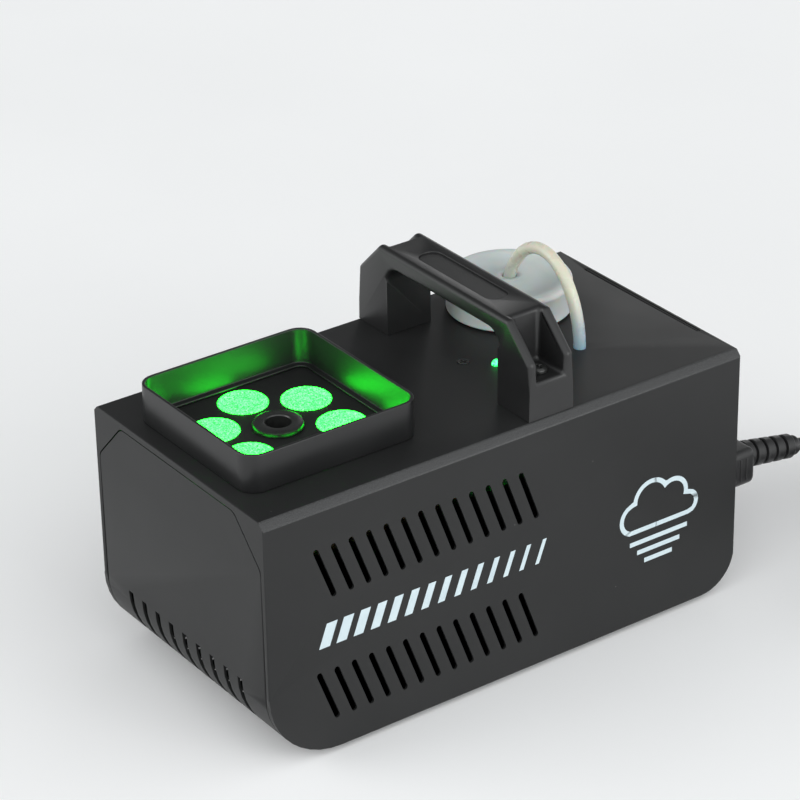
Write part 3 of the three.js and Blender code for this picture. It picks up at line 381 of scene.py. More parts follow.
@dataclass(frozen=True)
class Hose:
    """Soft translucent tube, paler and yellowish where it stands free, darker and bluish low down.

    Attributes:
        name: the material's name.
        upper: the colour of the arch.
        lower: the colour near the top plate.
        low: the height where the lower colour is full.
        high: the height where the upper colour is full.
    """

    name: str = "milky_hose"
    upper: Colour = (0.62, 0.62, 0.50)
    lower: Colour = (0.28, 0.41, 0.52)
    low: float = 0.134
    high: float = 0.160

    def material(self) -> bpy.types.Material:
        """Gives the hose's material, made once."""
        return bpy.data.materials.get(self.name) or self._make()

    def _make(self) -> bpy.types.Material:
        """Builds the nodes of the hose."""
        graph = Graph(self.name)
        place = graph.place()
        parts = graph.add("SeparateXYZ")
        graph.join(place, parts.inputs["Vector"])
        cloud = graph.noise(place, 140.0, 2.0)
        lifted = graph.math("ADD", parts.outputs["Z"], graph.math("MULTIPLY", cloud, 0.008))
        colour = graph.blend(graph.ramp(lifted, 0.0, 1.0, self.low, self.high), self.lower, self.upper)
        graph.join(colour, graph.shader.inputs["Base Color"])
        graph.join(graph.ramp(cloud, 0.22, 0.38, 0.3, 0.7), graph.shader.inputs["Roughness"])
        graph.join(graph.bump(graph.noise(place, 900.0), 0.00005), graph.shader.inputs["Normal"])
        graph.set(Subsurface_Weight=0.75, Subsurface_Scale=0.003, Coat_Weight=0.2)
        return graph.material


@dataclass(frozen=True)
class Woven:
    """Coarse woven glass fibre, as wound round a hot part.

    Attributes:
        name: the material's name.
        hollow: the colour between the threads, darker as painted shade in the weave's hollows.
        thread: the colour of the threads.
        pitch: threads in a metre.
    """

    name: str = "woven_glass"
    hollow: Colour = (0.22, 0.13, 0.05)
    thread: Colour = (0.62, 0.45, 0.22)
    pitch: float = 420.0

    def material(self) -> bpy.types.Material:
        """Gives the cloth's material, made once."""
        return bpy.data.materials.get(self.name) or self._make()

    def _make(self) -> bpy.types.Material:
        """Builds the nodes of the cloth."""
        graph = Graph(self.name)
        place = graph.place()
        waves = []
        for direction in ("DIAGONAL", "Z"):
            wave = graph.add("TexWave", bands_direction=direction)
            wave.inputs["Scale"].default_value = self.pitch / 2
            wave.inputs["Distortion"].default_value = 0.6
            graph.join(place, wave.inputs["Vector"])
            waves.append(wave.outputs["Fac"])
        weave = graph.math("MULTIPLY", *waves)
        # The threads' hollows take the darker colour: painted shade, where the weave's bump also sinks.
        graph.join(graph.blend(graph.ramp(weave, 0.0, 1.0, 0.05, 0.6), self.hollow, self.thread),
                   graph.shader.inputs["Base Color"])
        graph.join(graph.ramp(weave, 0.95, 0.75, 0.0, 1.0), graph.shader.inputs["Roughness"])
        graph.join(graph.bump(weave, 0.0004), graph.shader.inputs["Normal"])
        return graph.material


POWDER = Finish("charcoal_powder_coat", (0.0120, 0.0123, 0.0124), (0.0150, 0.0153, 0.0154), (0.44, 0.54),
                patches=22, grain=4200, depth=0.00002, specks=0.30, shine=0.32)
# The coat of the sloping folds: its coarse grain is the coat's own, but its pale patches, far lighter than
# the powder coat, are a painted highlight where the slopes catch the light.
EDGE_COAT_AND_PAINTED_HIGHLIGHT = Finish("coarse_edge_coat_painted_highlight", (0.009, 0.0092, 0.0094), (0.060, 0.061, 0.062), (0.38, 0.66),
                   patches=2600, grain=2300, depth=0.00011, shine=0.5)
HOOD_COAT = Finish("hood_satin_black", (0.0085, 0.0088, 0.0090), (0.0115, 0.0118, 0.0120), (0.30, 0.40),
                   patches=30, grain=3600, depth=0.000014, specks=0.2, shine=0.5)
HANDLE_PLASTIC = Finish("handle_moulded_black", (0.0095, 0.0096, 0.0098), (0.0130, 0.0131, 0.0133),
                        (0.30, 0.42), patches=40, grain=3200, depth=0.00002, specks=0.2)
BLACK_PLASTIC = Finish("moulded_black", (0.010, 0.010, 0.0105), (0.016, 0.016, 0.0165), (0.32, 0.46),
                       patches=70, grain=2600, depth=0.000035)
NOZZLE_METAL = Finish("blackened_nozzle", (0.010, 0.0105, 0.010), (0.02, 0.021, 0.02), (0.24, 0.36),
                      patches=90, grain=3000, depth=0.00001, stretch=(1.0, 1.0, 12.0), shine=0.6)
RUBBER = Finish("matt_rubber", (0.011, 0.011, 0.011), (0.020, 0.020, 0.020), (0.72, 0.88), patches=110,
                grain=1800, depth=0.00005)
CORD_PVC = Finish("flexible_pvc", (0.009, 0.009, 0.0095), (0.015, 0.015, 0.0155), (0.42, 0.55), patches=90,
                  grain=2400, depth=0.00003)
CAP_PLASTIC = Finish("milky_cap", (0.46, 0.51, 0.51), (0.55, 0.60, 0.58), (0.38, 0.5), patches=35,
                     grain=1500, depth=0.00004, waxy=0.55, soak=0.006)
TANK_PLASTIC = Finish("milky_tank", (0.62, 0.65, 0.60), (0.74, 0.76, 0.71), (0.4, 0.55), patches=25,
                      grain=900, depth=0.00006, waxy=0.6, soak=0.006)
STEEL = Finish("zinc_plated_steel", (0.42, 0.42, 0.40), (0.60, 0.60, 0.58), (0.24, 0.42), patches=80,
               grain=1500, depth=0.00002, metal=1.0, stretch=(0.15, 1.0, 1.0))
ALUMINIUM = Finish("cast_aluminium", (0.42, 0.42, 0.43), (0.60, 0.60, 0.61), (0.35, 0.55), patches=60,
                   grain=900, depth=0.00008, metal=1.0)
BRASS = Finish("plain_brass", (0.42, 0.29, 0.10), (0.62, 0.45, 0.18), (0.22, 0.4), patches=90, grain=1800,
               depth=0.00002, metal=1.0)
COPPER = Finish("warm_copper", (0.55, 0.24, 0.10), (0.80, 0.42, 0.22), (0.25, 0.42), patches=90, grain=1600,
                depth=0.00003, metal=1.0)
RED_PLASTIC = Finish("red_moulded", (0.32, 0.008, 0.008), (0.42, 0.014, 0.012), (0.2, 0.32), patches=120,
                     grain=2200, depth=0.00002)
WHITE_BOARD = Finish("white_board", (0.62, 0.62, 0.58), (0.74, 0.74, 0.70), (0.35, 0.5), patches=150,
                     grain=1900, depth=0.00003)
GREEN_BOARD = Finish("green_board", (0.006, 0.06, 0.02), (0.02, 0.16, 0.05), (0.25, 0.45), patches=330,
                     grain=1300, depth=0.00005, stretch=(1.0, 3.0, 0.4))
PALE_INK = Finish("pale_print", (0.50, 0.60, 0.64), (0.56, 0.66, 0.69), (0.42, 0.55), patches=160,
                  grain=4200, depth=0.00001)
GREEN_LENS = LitLens()
GREEN_DOT = LitLens("lit_indicator", (0.004, 1.0, 0.10), (0.05, 1.0, 0.20), 1.4, 5.0, 700.0, 0.0)
HOSE = Hose()
GLASS_CLOTH = Woven()

NODE_FINISH: dict[str, object] = {
    "case_black": POWDER, "rubber": RUBBER, "green_lens": GREEN_LENS, "white_board": WHITE_BOARD,
    "aluminium": ALUMINIUM, "nozzle_metal": NOZZLE_METAL, "glass_wool": GLASS_CLOTH, "brass": BRASS,
    "copper": COPPER, "steel": STEEL, "tank_plastic": TANK_PLASTIC, "cap_plastic": CAP_PLASTIC,
    "hose_plastic": HOSE, "black_plastic": BLACK_PLASTIC, "green_led": GREEN_DOT, "green_board": GREEN_BOARD,
    "red_plastic": RED_PLASTIC, "cord_rubber": CORD_PVC, "black_steel": NOZZLE_METAL,
}


# ---------------------------------------------------------------- shapes


def smoothed(mesh: bpy.types.Mesh, angle: float = 32.0) -> None:
    """Shades a mesh smooth, with its edges sharp past an angle.

    Args:
        mesh: the mesh to shade.
        angle: the angle in degrees.
    """
    mesh.polygons.foreach_set("use_smooth", [True] * len(mesh.polygons))
    mesh.set_sharp_from_angle(angle=math.radians(angle))


@dataclass
class Piece:
    """A piece in the making: a bmesh, and what it needs to join the machine.

    Attributes:
        name: the piece's name.
        finish: its finish.
        nodes: the CAD nodes that it stands for.
        bm: its mesh while it is worked on.
    """

    name: str
    finish: object
    nodes: tuple[str, ...] = ()
    bm: bmesh.types.BMesh = field(default_factory=bmesh.new)

    def spun(self, profile: Sequence[tuple[float, float]], steps: int = 64, axis: Axis = Axis.Z,
             centre: Sequence[float] = (0.0, 0.0, 0.0)) -> list[bmesh.types.BMVert]:
        """Turns a profile of radii and heights round an axis and adds the shape.

        Args:
            profile: radius and height of each point.
            steps: how many faces go round.
            axis: the axis of the turn.
            centre: where the axis starts.

        Returns:
            The shape's vertices.
        """
        work = bmesh.new()
        points = [work.verts.new((radius, 0.0, height)) for radius, height in profile]
        edges = [work.edges.new(pair) for pair in zip(points, points[1:])]
        bmesh.ops.spin(work, geom=points + edges, cent=(0, 0, 0), axis=(0, 0, 1), angle=math.tau,
                       steps=steps,
                       use_merge=True, use_duplicate=False)
        bmesh.ops.remove_doubles(work, verts=work.verts, dist=1e-7)
        bmesh.ops.dissolve_degenerate(work, edges=work.edges, dist=1e-7)
        turn = {Axis.Z: Matrix.Identity(3), Axis.Y: Matrix.Rotation(-math.pi / 2, 3, "X"),
                Axis.X: Matrix.Rotation(math.pi / 2, 3, "Y")}[axis]
        bmesh.ops.rotate(work, verts=work.verts, cent=(0, 0, 0), matrix=turn)
        bmesh.ops.translate(work, verts=work.verts, vec=Vector(centre))
        return self._take(work)

    def block(self, low: Sequence[float], high: Sequence[float], radius: float = 0.0, segments: int = 3,
              along: int | None = None) -> list[bmesh.types.BMVert]:
        """Adds a box with rounded edges.

        Args:
            low: its lowest corner.
            high: its highest corner.
            radius: how round its edges are.
            segments: the facets of that round.
            along: 0, 1 or 2 to round only the edges that run along that axis.

        Returns:
            The box's vertices.
        """
        work = bmesh.new()
        bmesh.ops.create_cube(work, size=1.0)
        low_corner, high_corner = Vector(low), Vector(high)
        bmesh.ops.scale(work, vec=high_corner - low_corner, verts=work.verts)
        bmesh.ops.translate(work, vec=(low_corner + high_corner) / 2, verts=work.verts)
        if radius:
            edges = [e for e in work.edges if along is None
                     or abs((e.verts[1].co - e.verts[0].co).normalized()[along]) > 0.9]
            bmesh.ops.bevel(work, geom=edges, offset=radius, offset_type="OFFSET", affect="EDGES",
                            segments=segments, profile=0.5, material=-1, clamp_overlap=True)
        return self._take(work)

    def plate(self, outline: Sequence[Sequence[float]], depth: Vector) -> list[bmesh.types.BMVert]:
        """Adds a flat face through points, drawn out to a thickness.

        Args:
            outline: the points round the face.
            depth: which way and how far it is drawn out.

        Returns:
            The plate's vertices.
        """
        work = bmesh.new()
        face = work.faces.new([work.verts.new(point) for point in outline])
        drawn = bmesh.ops.extrude_face_region(work, geom=[face])
        moved = [item for item in drawn["geom"] if isinstance(item, bmesh.types.BMVert)]
        bmesh.ops.translate(work, vec=depth, verts=moved)
        return self._take(work)

    def _take(self, work: bmesh.types.BMesh) -> list[bmesh.types.BMVert]:
        """Moves a finished shape into the piece, facing outwards.

        Args:
            work: the shape, which is freed.

        Returns:
            The shape's vertices in the piece.
        """
        bmesh.ops.recalc_face_normals(work, faces=work.faces)
        carrier = bpy.data.meshes.new("carrier")
        work.to_mesh(carrier)
        work.free()
        before = len(self.bm.verts)
        self.bm.from_mesh(carrier)
        bpy.data.meshes.remove(carrier)
        self.bm.verts.ensure_lookup_table()
        return self.bm.verts[before:]

    def copied(self, node: str) -> "Piece":
        """Takes in the shape of a CAD node, with its loose triangles joined into whole faces.

        Args:
            node: the node's name.

        Returns:
            The piece itself.
        """
        self.bm.from_mesh(frame["nodes"][node].data)
        bmesh.ops.remove_doubles(self.bm, verts=self.bm.verts, dist=2e-6)
        bmesh.ops.dissolve_limit(self.bm, angle_limit=math.radians(0.6), verts=self.bm.verts,
                                 edges=self.bm.edges, delimit={"NORMAL"})
        return self

    def eased(self, width: float, segments: int = 2, angle: float = 28.0,
              pick: Callable[[bmesh.types.BMEdge], bool] | None = None) -> "Piece":
        """Rounds the sharp edges.

        Args:
            width: how wide the rounding is.
            segments: its facets.
            angle: edges turning more than this many degrees count as sharp.
            pick: says which sharp edges are taken, all if left out.

        Returns:
            The piece itself.
        """
        limit = math.radians(angle)
        sharp = [e for e in self.bm.edges if len(e.link_faces) == 2 and e.calc_face_angle(0.0) > limit
                 and e.calc_length() > 1e-6 and (pick is None or pick(e))]
        bmesh.ops.bevel(self.bm, geom=sharp, offset=width, offset_type="OFFSET", affect="EDGES",
                        segments=segments, profile=0.5, material=-1, clamp_overlap=False)
        return self

    def done(self, body: str | None = None, angle: float = 32.0) -> bpy.types.Object:
        """Makes the object, dresses it and joins it to its body.

        Args:
            body: the body that it rides on, its first node's if left out.
            angle: the angle past which an edge is sharp, in degrees.

        Returns:
            The finished object.
        """
        mesh = bpy.data.meshes.new(self.name)
        self.bm.to_mesh(mesh)
        self.bm.free()
        smoothed(mesh, angle)
        mesh.materials.append(self.finish.material())
        made = bpy.data.objects.new(self.name, mesh)
        bpy.context.scene.collection.objects.link(made)
        return joined(made, self.nodes, body)


def joined(made: bpy.types.Object, nodes: Iterable[str], body: str | None = None) -> bpy.types.Object:
    """Makes an object part of the machine.

    Args:
        made: the object.
        nodes: the CAD nodes that it stands for.
        body: the body that it rides on, its first node's if left out.

    Returns:
        The same object.
    """
    nodes = tuple(nodes)
    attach(made, body or BODIES[nodes[0]])
    if nodes:
        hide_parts(*nodes)
    return made


def refined(node: str, width: float, segments: int = 2, finish: object | None = None,
            name: str | None = None) -> bpy.types.Object:
    """Stands a copy of a CAD node with eased edges in its place.

    Args:
        node: the node's name.
        width: how wide its edges are rounded.
        segments: the facets of the rounding.
        finish: its finish, the one for its slot if left out.
        name: the new piece's name.

    Returns:
        The finished object.
    """
    piece = Piece(name or f"{node}_body", finish or NODE_FINISH[SLOTS[node]], (node,)).copied(node)
    return piece.eased(width, segments).done()


def upright(node: str) -> tuple[Point, float, float, float]:
    """Gives the measures of a node that is round about an upright axis.

    Args:
        node: the node's name.

    Returns:
        The foot of its axis on the floor, its radius, and its lowest and highest height.
    """
    low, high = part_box(node)
    return ((low.x + high.x) / 2, (low.y + high.y) / 2, 0.0), (high.x - low.x) / 2, low.z, high.z


def through(points: Sequence[Point], step: float = 0.0015) -> list[Vector]:
    """Gives a smooth line through points, as a centripetal spline.

    Args:
        points: the points on the line.
        step: about how far apart its own points lie.

    Returns:
        The line's points.
    """
    knots = [Vector(p) for p in points]
    knots = [2 * knots[0] - knots[1], *knots, 2 * knots[-1] - knots[-2]]
    line: list[Vector] = []
    for a, b, c, d in zip(knots, knots[1:], knots[2:], knots[3:]):
        t0 = 0.0
        t1 = t0 + math.sqrt((b - a).length)
        t2 = t1 + math.sqrt((c - b).length)
        t3 = t2 + math.sqrt((d - c).length)
        count = max(2, round((c - b).length / step))
        for i in range(count):
            t = t1 + (t2 - t1) * i / count
            ab = a * ((t1 - t) / (t1 - t0)) + b * ((t - t0) / (t1 - t0))
            bc = b * ((t2 - t) / (t2 - t1)) + c * ((t - t1) / (t2 - t1))
            cd = c * ((t3 - t) / (t3 - t2)) + d * ((t - t2) / (t3 - t2))
            abc = ab * ((t2 - t) / (t2 - t0)) + bc * ((t - t0) / (t2 - t0))
            bcd = bc * ((t3 - t) / (t3 - t1)) + cd * ((t - t1) / (t3 - t1))
            line.append(abc * ((t2 - t) / (t2 - t1)) + bcd * ((t - t1) / (t2 - t1)))
    line.append(knots[-2])
    return line


def flexible(name: str, line: Sequence[Vector], radius: float, finish: object) -> bpy.types.Object:
    """Makes a round cord or hose along a line.

    Args:
        name: the piece's name.
        line: the points of its middle.
        radius: its radius.
        finish: its finish.

    Returns:
        The curve object.
    """
    curve = bpy.data.curves.new(name, "CURVE")
    curve.dimensions = "3D"
    curve.bevel_depth = radius
    curve.bevel_resolution = 5
    curve.use_fill_caps = True
    spline = curve.splines.new("POLY")
    spline.points.add(len(line) - 1)
    spline.use_smooth = True
    for place, point in zip(spline.points, line):
        place.co = (*point, 1.0)
    curve.materials.append(finish.material())
    made = bpy.data.objects.new(name, curve)
    bpy.context.scene.collection.objects.link(made)
    return made


# ---------------------------------------------------------------- sub-assemblies


@dataclass
class Camera:
    """The camera, above and to the right of the light hood.

    Attributes:
        place: where it stands.
        round: how far round from the front it looks, in degrees.
        above: how far above the horizon it stands, in degrees.
        lean: its turn about its own line of sight, in degrees.
        lens: its focal length in millimetres.
    """

    place: Point = (1.0897, -0.7892, 0.8354)
    round: float = 54.65
    above: float = 28.10
    lean: float = -0.965
    lens: float = 147.14

    def build(self) -> bpy.types.Object:
        """Makes the camera and gives it to the scene."""
        data = bpy.data.cameras.new("camera")
        data.lens = self.lens
        data.sensor_width = 36.0
        data.clip_start = 0.05
        camera = bpy.data.objects.new("camera", data)
        bpy.context.scene.collection.objects.link(camera)
        turn, rise = math.radians(self.round), math.radians(self.above)
        ahead = Vector((-math.sin(turn) * math.cos(rise), math.cos(turn) * math.cos(rise), -math.sin(rise)))
        lean = Matrix.Rotation(math.radians(self.lean), 3, "Z")
        facing = ahead.to_track_quat("-Z", "Y").to_matrix() @ lean
        camera.matrix_world = Matrix.Translation(self.place) @ facing.to_4x4()
        bpy.context.scene.camera = camera
        return camera


@dataclass
class MainsLead:
    """The mains lead: a connector with a ribbed relief, a cord laid in a coil, its strap and its plug.

    Attributes:
        diameter: the cord's diameter.
        start: where the cord leaves the connector; not used.
        centre: the coil's middle.
        radii: the turn radii of the coil, outermost first.
        layers: the heights of the coil's layers.
        sweep: how far the cord turns round the coil, in degrees.
        arrive: the angle where the cord meets the coil, in degrees.
        step_in: how far the cord turns while it moves from one turn's place to the next, in degrees.
        free_run: points from the connector to the coil, in millimetres.
        tail: points from the coil to the plug, in millimetres.
        inlet: the connector's middle across and up the rear panel.
    """

    diameter: float = 0.0065
    start: Point = (0.0395, 0.197, 0.0444)
    centre: tuple[float, float] = (0.098, 0.246)
    radii: tuple[float, ...] = (0.043, 0.0365, 0.030)
    layers: tuple[float, float] = (0.0045, 0.0112)
    sweep: float = 1905.0
    arrive: float = 120.0
    step_in: float = 58.0
    free_run: tuple[Point, ...] = (
        (39.5, 197.0, 44.4), (39.1, 203.7, 42.6), (38.0, 210.3, 39.8), (36.6, 216.5, 36.4),
        (35.2, 222.5, 32.5), (33.9, 228.3, 28.3), (33.0, 234.1, 24.0), (32.7, 239.8, 19.6),
        (33.3, 245.7, 15.3), (35.2, 251.5, 11.4), (38.5, 257.1, 8.2), (43.1, 262.3, 6.0),
        (48.7, 266.8, 4.8), (54.8, 270.7, 4.5),
    )
    tail: tuple[Point, ...] = ((146.0, 232.9, 11.0), (146.6, 229.6, 11.0), (147.0, 225.2, 11.0))
    inlet: tuple[float, float] = (0.0395, 0.0515)

    def coil_line(self) -> list[Vector]:
        """Gives the points of the cord's turns, inwards on the floor and outwards on top."""
        lower, upper = self.layers
        stops = [(radius, lower) for radius in self.radii]
        stops += [(radius, upper) for radius in self.radii[::-1]]
        line = []
        for step in range(0, int(self.sweep) + 1, 3):
            radius, height = stops[0]
            for k, (before, after) in enumerate(zip(stops, stops[1:]), start=1):
                begin = (360.0 - self.step_in) * k
                share = min(1.0, max(0.0, (step - begin) / self.step_in))
                share = share * share * (3 - 2 * share)
                radius += (after[0] - before[0]) * share
                height += (after[1] - before[1]) * share
            angle = math.radians(self.arrive - step)
            line.append(Vector((self.centre[0] + radius * math.cos(angle),
                                self.centre[1] + radius * math.sin(angle), height)))
        return line

    def line(self) -> list[Vector]:
        """Gives the points of the whole cord, from the connector to the plug."""
        fall = through([tuple(value * MM for value in point) for point in self.free_run], 0.002)
        end = [Vector(point) * MM for point in self.tail]
        return fall + self.coil_line() + through(end, 0.0015)

    def build(self) -> list[bpy.types.Object]:
        line = self.line()
        cord = flexible("mains_cord", line, self.diameter / 2, CORD_PVC)
        joined(cord, ("cord_lead", "cord_coil", "cord_tail"))
        others = [self._connector(), self._tie(), self._plug()]
        return [cord, *others]

    def _connector(self) -> bpy.types.Object:
        """Makes the connector in the inlet, with finger ribs and a ribbed relief round the cord."""
        across, up = self.inlet
        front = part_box("mains_connector")[0].y
        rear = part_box("mains_inlet")[1].y
        piece = Piece("connector_body", BLACK_PLASTIC, ("mains_connector",))

        def slab(half: float, tall: float, start: float, end: float, *rounding: float) -> None:
            """Adds a block about the inlet's middle, from one place along Y to another."""
            piece.block((across - half, start, up - tall), (across + half, end, up + tall), *rounding)

        slab(0.0119, 0.0080, front, rear + 0.001, 0.0012, 2, 1)
        slab(0.0135, 0.00975, rear + 0.0003, 0.1592, 0.0035, 4)
        for i in range(4):
            ridge = rear + 0.008 + i * 0.0036
            slab(0.01385, 0.0062, ridge, ridge + 0.0014, 0.0005, 2)
        root = (across, 0.157, up)
        verts = piece.spun(self._relief_profile(), 36, Axis.Y, root)
        bmesh.ops.rotate(piece.bm, verts=verts, cent=root, matrix=Matrix.Rotation(math.radians(-10), 3, "X"))
        return piece.done()

    @staticmethod
    def _relief_profile() -> list[tuple[float, float]]:
        """Gives the radii and heights of the cord's relief, ringed by grooves."""
        profile = [(0.0, 0.0), (0.0070, 0.0)]
        soft, groove = 0.0004, 0.0018
        for i in range(5):
            along = 0.0050 + i * 0.0068
            radius = 0.0069 - 0.0007 * i / 4
            profile += [(radius - soft, along - 0.0012), (radius, along - 0.0006), (radius, along + 0.0030),
                        (radius - soft, along + 0.0036), (radius - groove, along + 0.0038),
                        (radius - groove, along + 0.0052)]
        return profile + [(0.0050, 0.0389), (0.0046, 0.0398), (0.0, 0.0398)]

    def _tie(self) -> bpy.types.Object:
        """Makes the strap round the turns."""
        piece = Piece("coil_strap", RUBBER, ("cord_tie",)).copied("cord_tie").eased(0.0003, 2)
        return piece.done()

    def _plug(self) -> bpy.types.Object:
        """Makes the plug, with finger grips and metal blades."""
        low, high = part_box("mains_plug")
        piece = Piece("plug_body", BLACK_PLASTIC, ("mains_plug",)).copied("mains_plug").eased(0.0005, 2)
        proud = 0.00005
        face = low.y + 0.021
        for i in range(4):
            ridge = face + 0.004 + i * 0.0036
            piece.block((low.x + proud, ridge, 0.006), (high.x - proud, ridge + 0.0015, 0.016), 0.0004, 1)
        plug = piece.done()
        metal = STEEL.material()
        plug.data.materials.append(metal)
        for polygon in plug.data.polygons:
            if polygon.center.y < face - 0.0002:
                polygon.material_index = 1
        return plug


@dataclass
class Case:
    """The cover and the chassis, with their marks, screws and feet.

    Attributes:
        edge: how wide the folds are rounded.
    """

    edge: float = 0.0007

    def build(self) -> list[bpy.types.Object]:
        """Makes every piece of the case."""
        shells = [self._shell("top_cover"), self._shell("chassis")]
        feet = [self._foot(end, side) for end in ("front", "rear") for side in ("left", "right")]
        screws = [refined(f"handle_screw_{side}", 0.00025) for side in ("left", "right")]
        return [*shells, *feet, *screws, refined("top_screw", 0.00012), *self._marks()]

    def _shell(self, node: str) -> bpy.types.Object:
        """Makes one folded shell, with a coarser coat along its sloping folds, painted lighter there as a
        painted highlight.

        Args:
            node: the shell's node.

        Returns:
            The finished object.
        """
        piece = Piece(f"{node}_body", POWDER, (node,)).copied(node)
        piece.eased(self.edge, 3, 30, self._is_fold)
        made = piece.done(angle=40)
        # The sloping fold faces near the top take the coarse coat, whose lighter colour is a painted
        # highlight.
        made.data.materials.append(EDGE_COAT_AND_PAINTED_HIGHLIGHT.material())
        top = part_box("top_cover")[1].z
        for polygon in made.data.polygons:
            normal = polygon.normal
            slopes = abs(normal.x) > 0.2 and abs(normal.z) > 0.2 and abs(normal.y) < 0.1
            if slopes and polygon.center.z > top - 0.006 and abs(polygon.center.x) > 0.06:
                polygon.material_index = 1
        return made

    @staticmethod
    def _is_fold(edge: bmesh.types.BMEdge) -> bool:
        """Says whether an edge is a long outer fold of the case, clear of its slots and holes."""
        first, second = (vert.co for vert in edge.verts)
        return edge.calc_length() > 0.05 and (abs(first.x) > 0.0655 or first.z > 0.1295) and second.z > 0.004

    @staticmethod
    def _foot(end: str, side: str) -> bpy.types.Object:
        """Makes one rubber foot, with a recess in its underside for its screw.

        Args:
            end: front or rear.
            side: left or right.

        Returns:
            The finished object.
        """
        node = f"foot_{end}_{side}"
        middle, reach, _, tall = upright(node)
        piece = Piece(f"{node}_pad", RUBBER, (node,))
        piece.spun([(0.0, tall), (reach, tall), (reach, tall - 0.0006), (reach - 0.0009, 0.0006),
                    (reach - 0.0016, 0.0), (0.0042, 0.0), (0.0036, 0.0004), (0.0036, tall - 0.0012),
                    (0.0, tall - 0.0012)], 48, centre=middle)
        return piece.done()

    @staticmethod
    def _marks() -> list[bpy.types.Object]:
        """Makes the plain printed marks on the right-hand side: a cloud, and a band of slanting bars."""
        face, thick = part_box("top_cover")[1].x + 0.00002, 0.00008
        centre_y, centre_z = 0.083, 0.063
        cloud = Piece("cloud_mark", PALE_INK)
        puffs = [(-0.0150, -0.0020, 0.0090), (-0.0050, 0.0055, 0.0110), (0.0080, 0.0035, 0.0095),
                 (0.0170, -0.0040, 0.0070)]
        line = 0.0024
        floor_z = centre_z - 0.0105
        outline = Case._cloud_outline(centre_y, centre_z, floor_z, puffs)
        inner = Case._cloud_outline(centre_y, centre_z, floor_z + line,
                                    [(y, z, radius - line) for y, z, radius in puffs])
        outward = Vector((thick, 0, 0))
        outer_sides = zip(outline, outline[1:] + outline[:1])
        inner_sides = zip(inner, inner[1:] + inner[:1])
        for (a, b), (c, d) in zip(outer_sides, inner_sides):
            cloud.plate([(face, *a), (face, *b), (face, *d), (face, *c)], outward)
        for i in range(3):
            low_z = floor_z - 0.0065 - i * 0.0055
            half = 0.0175 - i * 0.0045
            cloud.plate([(face, centre_y - half, low_z), (face, centre_y + half, low_z),
                         (face, centre_y + half, low_z + line), (face, centre_y - half, low_z + line)],
                        outward)
        bars = Piece("bar_marks", PALE_INK)
        lean, bar_foot, bar_top = 0.0045, 0.0575, 0.0695
        for i in range(14):
            wide = 0.0058 - 0.00028 * i
            start = -0.112 + i * 0.0093
            bars.plate([(face, start, bar_foot), (face, start + wide, bar_foot),
                        (face, start + wide + lean, bar_top), (face, start + lean, bar_top)], outward)
        made = []
        for piece in (cloud, bars):
            bmesh.ops.remove_doubles(piece.bm, verts=piece.bm.verts, dist=1e-6)
            mark = piece.done("root")
            made.append(mark)
        return made

    @staticmethod
    def _cloud_outline(centre_y: float, centre_z: float, floor_z: float,
                       puffs: Sequence[Point]) -> list[tuple[float, float]]:
        """Gives the points round a cloud that stands on a flat line.

        Args:
            centre_y: the cloud's middle along Y.
            centre_z: the cloud's middle along Z.
            floor_z: the height of its flat underside.
            puffs: the place and radius of each puff.

        Returns:
            The points, all seen from one point on the underside.
        """
        points = []
        foot_half = puffs[-1][0]
        for step in range(72):
            angle = math.tau * step / 72
            ray = Vector((math.cos(angle), math.sin(angle)))
            reach = 0.0
            for across, up, radius in puffs:
                middle = Vector((across, up))
                along = middle.dot(ray)
                square = radius * radius - (middle.length_squared - along * along)
                if square > 0:
                    reach = max(reach, along + math.sqrt(square))
            if ray.y < 0:
                foot = min((centre_z - floor_z) / -ray.y, foot_half / max(abs(ray.x), 1e-6))
                reach = foot if foot_half / max(abs(ray.x), 1e-6) > foot else max(foot, min(reach, (
                    centre_z - floor_z) / -ray.y))
            points.append((centre_y + ray.x * reach, centre_z + ray.y * reach))
        return points


